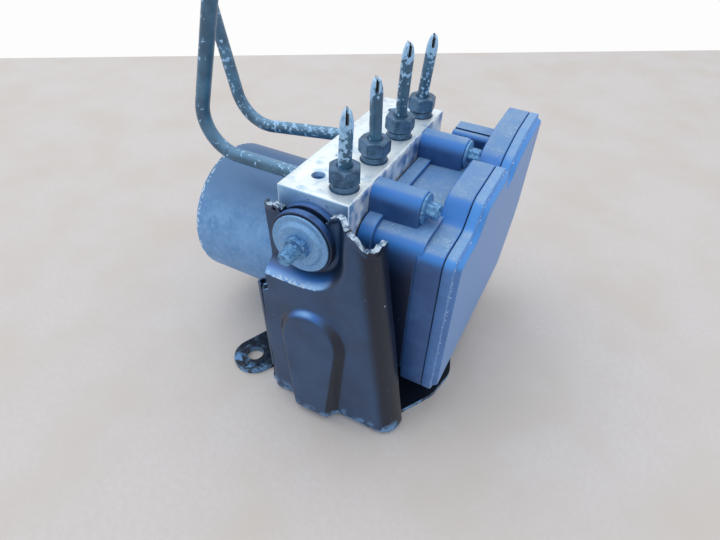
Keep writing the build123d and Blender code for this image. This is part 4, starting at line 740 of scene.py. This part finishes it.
def wall_section(c, z):
    """Place and outward direction in plan of the wall's outer face at height z. c counts round it: 0..1 the left
    flange, 1..2 its bend, a quarter circle, 2..3..4..5..6 the front between five upright lines, 6..7 the right
    bend, 7..8 the right flange."""
    left, right = np.interp(z, *LEFT_EDGE), np.interp(z, *RIGHT_EDGE)
    first = np.where(z > FLANGE_TOP, np.interp(z, *TORN_SIDE), left + LEFT_BEND)
    slot = -SLOT_R * np.cos(np.pi * np.clip(c - 3, 0, 1))
    turn_l, turn_r = np.pi / 2 * np.clip(c - 1, 0, 1), np.pi / 2 * np.clip(c - 6, 0, 1)
    x = np.select([c < 2, c <= 3, c <= 4, c <= 5, c <= 6],
                  [left + LEFT_BEND * (1 - np.cos(turn_l)), first + (-SLOT_R - first) * (c - 2), slot,
                   SLOT_R + (FRONT_LINE - SLOT_R) * (c - 4), FRONT_LINE + (right - RIGHT_BEND - FRONT_LINE) * (c - 5)],
                  right - RIGHT_BEND * (1 - np.sin(turn_r)))
    y = (WALL_Y + LEFT_BEND * (1 - np.sin(turn_l)) + (FLANGE_Y - WALL_Y - LEFT_BEND) * np.clip(1 - c, 0, 1)
         + RIGHT_BEND * (1 - np.cos(turn_r)) + (FLANGE_Y - WALL_Y - RIGHT_BEND) * np.clip(c - 7, 0, 1))
    return x, y, np.sin(turn_r) - np.cos(turn_l), -np.sin(turn_l) * np.cos(turn_r)


def wall_face(c, z, top):
    """The wall's outer face: its section, less the recess round the stud, whose edge is a quarter round under it,
    out by the pad, which leans and ends in an arch, in along a circle where it turns under at the floor, out
    again where it was bent as it tore, and in and out by 0.12 mm in long waves."""
    x, y, out_x, out_y = wall_section(c, z)
    dx, dz = np.clip(x - POCKET_X, 0, None), np.clip(STUD_Z - z, 0, None)
    inside = POCKET_R - np.hypot(dx, dz)
    flank = POCKET_FLANK + POCKET_SPREAD * dx / (dx + dz + 0.01)
    recess = POCKET_DEPTH * eased((inside + POCKET_LIP) / (flank + POCKET_EASE)) * (c >= 2) * (c <= 6)
    low = np.minimum(x - np.interp(z, *PAD_LEFT), np.interp(z, *PAD_RIGHT) - x)
    arch = (1 - np.hypot((x - PAD_X) / PAD_HALF, (z - PAD_ARCH_Z) / PAD_ARCH)) * PAD_HALF
    raised = eased((np.where(z > PAD_ARCH_Z, arch, low) + PAD_LIP) / PAD_FLANK)
    pad = raised * (PAD_RISE + (PAD_TOP - z) * PAD_SLOPE)
    under = np.interp(x, *FOOT_ROUND) * (1 - raised) + CHIN * raised
    under = under - np.sqrt(under ** 2 - np.clip(under - z, 0, None) ** 2)
    bent = (1.0 + 0.8 * np.sin(x * 0.5 + 1)) * eased((z - top + TEAR) / TEAR) * (z > STUD_Z + 1)
    out = pad - under + bent + 0.12 * np.sin(x * 0.21 + z * 0.13) * eased((z - 10) / 20)
    return np.stack([x + out * out_x, y + out * out_y + recess, z + 0 * x], -1)


def wall_patch(columns, rows, floor=None, top=None):
    """One patch of the wall over columns and rows; with floor and top, rows run from 0, the floor, to 1, the top,
    which is a height for each column."""
    c = columns[:, None] + 0 * rows
    if top is None:
        z = rows[None] + 0 * c
        return grid(wall_face(c, z, z + 99))
    return grid(wall_face(c, floor + (top - floor)[:, None] * rows[None], top[:, None]))


def torn(x):
    """Height of the wall's torn top at x: straight runs between corners, with small teeth, sines of uneven pitch."""
    return np.interp(x, *TORN_TOP) + 0.30 * np.sin(5.1 * x) + 0.22 * np.sin(9.7 * x + 1)


SLOT_AT, TOP_AT = 85.0, 100.0  # heights at which a column's X is read
post, under_slot = np.linspace(2, 3, 16), np.linspace(3, 4, 41)
right_part = np.concatenate([np.linspace(4, 5, 28)[:-1], np.linspace(5, 6, 18)[:-1], np.linspace(6, 7, 22)[:-1],
                             np.linspace(7, 8, 4)])
front = np.concatenate([post[:-1], under_slot[:-1], right_part])
whole = np.concatenate([np.linspace(0, 1, 7)[:-1], np.linspace(1, 2, 10)[:-1], front])
low_rows = np.concatenate([FOOT_TO * np.linspace(0, 1, 16)[:-1] ** 2, np.linspace(FOOT_TO, FLANGE_TOP, 80)])
fine_rows = np.concatenate([np.linspace(FLANGE_TOP, FINE_FROM, 7)[:-1], np.linspace(FINE_FROM, FINE_TO, 28)])
x_slot = np.clip(wall_section(front, SLOT_AT)[0], -SLOT_R, SLOT_R)
slot_floor = STUD_Z - np.sqrt(np.clip(SLOT_R ** 2 - x_slot ** 2, 0, None))
steps = np.linspace(0, 1, 21)
wall = [wall_patch(whole, low_rows), wall_patch(front, fine_rows), wall_patch(front, steps, FINE_TO, slot_floor)]
for columns in (post, right_part):
    wall.append(wall_patch(columns, steps, STUD_Z, torn(wall_section(columns, TOP_AT)[0])))


def rolled_hem(inset, y, heights, radius, thick, start, sweep):
    """The sheet's left edge rolled up: a ring of that sweep in plan, from radius less its thickness to radius, its
    centre inset mm inside the wall's left side, carried up through those heights."""
    t = np.radians(np.linspace(start, start + sweep, 28))
    ring = np.concatenate([np.stack([np.cos(t), np.sin(t)], 1) * radius,
                           np.stack([np.cos(t), np.sin(t)], 1)[::-1] * (radius - thick)])
    z = np.linspace(*heights, 12)[:, None]
    return grid(np.stack([ring[None, :, 0] + np.interp(z, *LEFT_EDGE) + inset, ring[None, :, 1] + y + 0 * z,
                          z + 0.1 * ring[None, :, 0]], -1), loop_columns=True, capped=True)


piece("mounting_bracket",
      [thickened(wall, SHEET), base_plate,
       rolled_hem(inset=2.2, y=-55.9, heights=(16.0, 65.0), radius=2.5, thick=0.9, start=-60, sweep=330)],
      "black_paint", "bracket", smooth=40)


# ---------------- rubber mounts, washer, stud
grommet = rounded([(0.0, 4.2), (0.0, 12.9), (3.0, 12.9), (3.0, 8.8), (5.3, 8.8), (5.3, 12.9), (8.3, 12.9),
                   (8.3, 11.9), (7.9, 11.7), (7.9, 4.2)], [0.5, 1.0, 0.8, 0.3, 0.3, 0.7, 0.9, 0.2, 0.1, 0.5])
piece("front_rubber", [turned(grommet, FRONT_MOUNT, -Y, 128)], "mount_rubber", "front_grommet")
washer = rounded([(8.3, 3.15), (8.3, 11.8), (9.3, 11.8), (9.0, 9.4), (10.3, 8.3), (10.3, 3.15)],
                 [0.1, 0.35, 0.45, 0.4, 0.5, 0.2])
piece("front_dished_washer", [turned(washer, FRONT_MOUNT, -Y, 128)], "washer_steel", "front_washer")


def threaded_end(start, end, outer, pitch, origin, axis, steps=72):
    """A screw thread: radius = outer - 0.6 pitch * triangle(along / pitch - t / 2 pi), fading out at the tip, so
    crest and root wind round the axis once for each pitch."""
    along = np.linspace(start, end, int((end - start) / pitch * 14))
    t = np.linspace(0, 2 * np.pi, steps, endpoint=False)
    wave = np.abs((along[:, None] / pitch - t[None] / (2 * np.pi)) % 1 * 2 - 1)
    r = outer - 0.6 * pitch * np.clip(wave * 1.15, 0, 1)
    r = np.minimum(r, outer - 0.75 + np.clip((end - along[:, None]) / 1.0, 0, 1) * 0.75)
    return grid(about(origin, axis, along, r, t), loop_columns=True, capped=True)


def hex_collar(start, end, flats, inner, origin, axis, turn):
    """A hexagon ring with chamfered corners about the axis, from start to end."""
    face = flats / 2 * 0.97
    profile = np.array([(start, inner), (start, ON_FLAT)] + [(along, ON_FLAT) for along in np.linspace(start, end, 16)]
                       + [(end, face - 0.1), (end, inner)])

    def radius_at(along, r, t):
        cone = face + np.minimum(end - along, along - start + 0.6) * 1.73
        return np.where(r >= ON_FLAT, np.minimum(hexagon(t, flats, turn), cone), r)
    return turned(profile, origin, axis, 96, radius_at)


piece("front_stud_screw", [hex_collar(10.0, 13.0, 8.8, 2.0, FRONT_MOUNT, -Y, 0.2),
                           threaded_end(-10.0, 19.6, 3.0, 1.0, FRONT_MOUNT, -Y)],
      "screw_steel", "front_stud", smooth=50)

low_rubber = rounded([(3.2, 4.2), (3.2, 9.5), (6.0, 9.5), (6.0, 6.0), (8.3, 6.0), (8.3, 9.5), (14.0, 9.5),
                      (14.0, 4.2)], [0.4, 0.8, 0.3, 0.2, 0.2, 1.5, 1.5, 0.4])
piece("base_rubbers", [turned(low_rubber, place, Z, 96) for place in BASE_MOUNTS], "mount_rubber", "base_grommets")


# ---------------- floor, light, camera
def pale_board():
    """Pale board, matt, with faint broad stains and a fine fleck."""
    m, t, s, p, _ = finish("pale_board_floor", Roughness=0.9)
    fill(s, {"Base Color": coats(t, "#d1c9c1", (patches(t, p, 2.5, 0.3, 0.7, 6.0, 0.7), "#d6cfc8"),
                                 (patches(t, p, 60.0, 0.35, 0.7), "#cfc6bb"))})
    return m


# the board in metres: two points of its far edge, how far it runs on past each, how deep it is, how far it lies
# under the bracket
FAR_EDGE = np.array([(-0.522, 0.1545), (0.1888, 0.6655)])
PAST, DEEP, UNDER = 2.0, 3.0, 0.0002
along = (FAR_EDGE[1] - FAR_EDGE[0]) / np.linalg.norm(FAR_EDGE[1] - FAR_EDGE[0])
near = DEEP * np.array((along[1], -along[0]))
left, right = FAR_EDGE[0] - PAST * along, FAR_EDGE[1] + PAST * along
floor_mesh = bpy.data.meshes.new("floor")
floor_mesh.from_pydata([(*place, 0.0) for place in (left, left + near, right + near, right)], [], [(0, 1, 2, 3)])
floor_mesh.materials.append(pale_board())
floor = linked("floor", floor_mesh)
floor.location = (0, 0, -UNDER)

world = bpy.data.worlds.new("soft_studio")
bpy.context.scene.world = world
world.use_nodes = True
wt = world.node_tree
wt.nodes.clear()
up = node(wt, "SeparateXYZ", {0: node(wt, "TexCoord", {}).outputs["Generated"]}).outputs[2]
LOW_LIGHT, HIGH_LIGHT = 0.62, 1.05  # the sky's strength at the horizon and overhead
level = node(wt, "MapRange", {"Value": up, 1: 0.0, 2: 0.9, 3: LOW_LIGHT, 4: HIGH_LIGHT}).outputs[0]
ray = node(wt, "LightPath", {}).outputs  # the camera, gloss and glass see a plain pale room
seen = node(wt, "Math", {0: ray["Is Camera Ray"], 1: ray["Is Glossy Ray"]}, operation="MAXIMUM").outputs[0]
seen = node(wt, "Math", {0: seen, 1: ray["Is Transmission Ray"]}, operation="MAXIMUM").outputs[0]
studio = node(wt, "Background", {"Color": "#ebf2ff", "Strength": level}).outputs[0]
plain = node(wt, "Background", {"Color": "#fdfdfd", "Strength": 1.0}).outputs[0]
node(wt, "OutputWorld", {"Surface": node(wt, "MixShader", {0: seen, 1: studio, 2: plain}).outputs[0]})


def soft_lamp(name, place, aim, size, power):
    """A square area lamp at place, turned to aim, both in metres."""
    lamp = linked(name, bpy.data.lights.new(name, "AREA"))
    lamp.data.size, lamp.data.energy = size, power
    lamp.location = place
    lamp.rotation_euler = (Vector(aim) - Vector(place)).to_track_quat("-Z", "Y").to_euler()


soft_lamp("overhead_softbox", (-0.55, 0.1, 1.6), (0, 0, 0.05), 1.7, 9.0)

# the camera's place in metres, and its right, down and forward directions
EYE = (0.0819, -0.1751, 0.2035)
SIGHT = np.array([(0.88723, 0.45987, 0.03661), (0.32601, -0.56887, -0.75505), (-0.32640, 0.68184, -0.65464)])
camera = linked("camera", bpy.data.cameras.new("camera"))
camera.data.sensor_width, camera.data.lens, camera.data.clip_start = 36.0, 25.5, 0.01
facing = Matrix((SIGHT.T @ np.diag([1.0, -1.0, -1.0])).tolist()).to_4x4()
camera.matrix_world = Matrix.Translation(EYE) @ facing
bpy.context.scene.camera = camera
bpy.context.scene.view_settings.view_transform = "Standard"
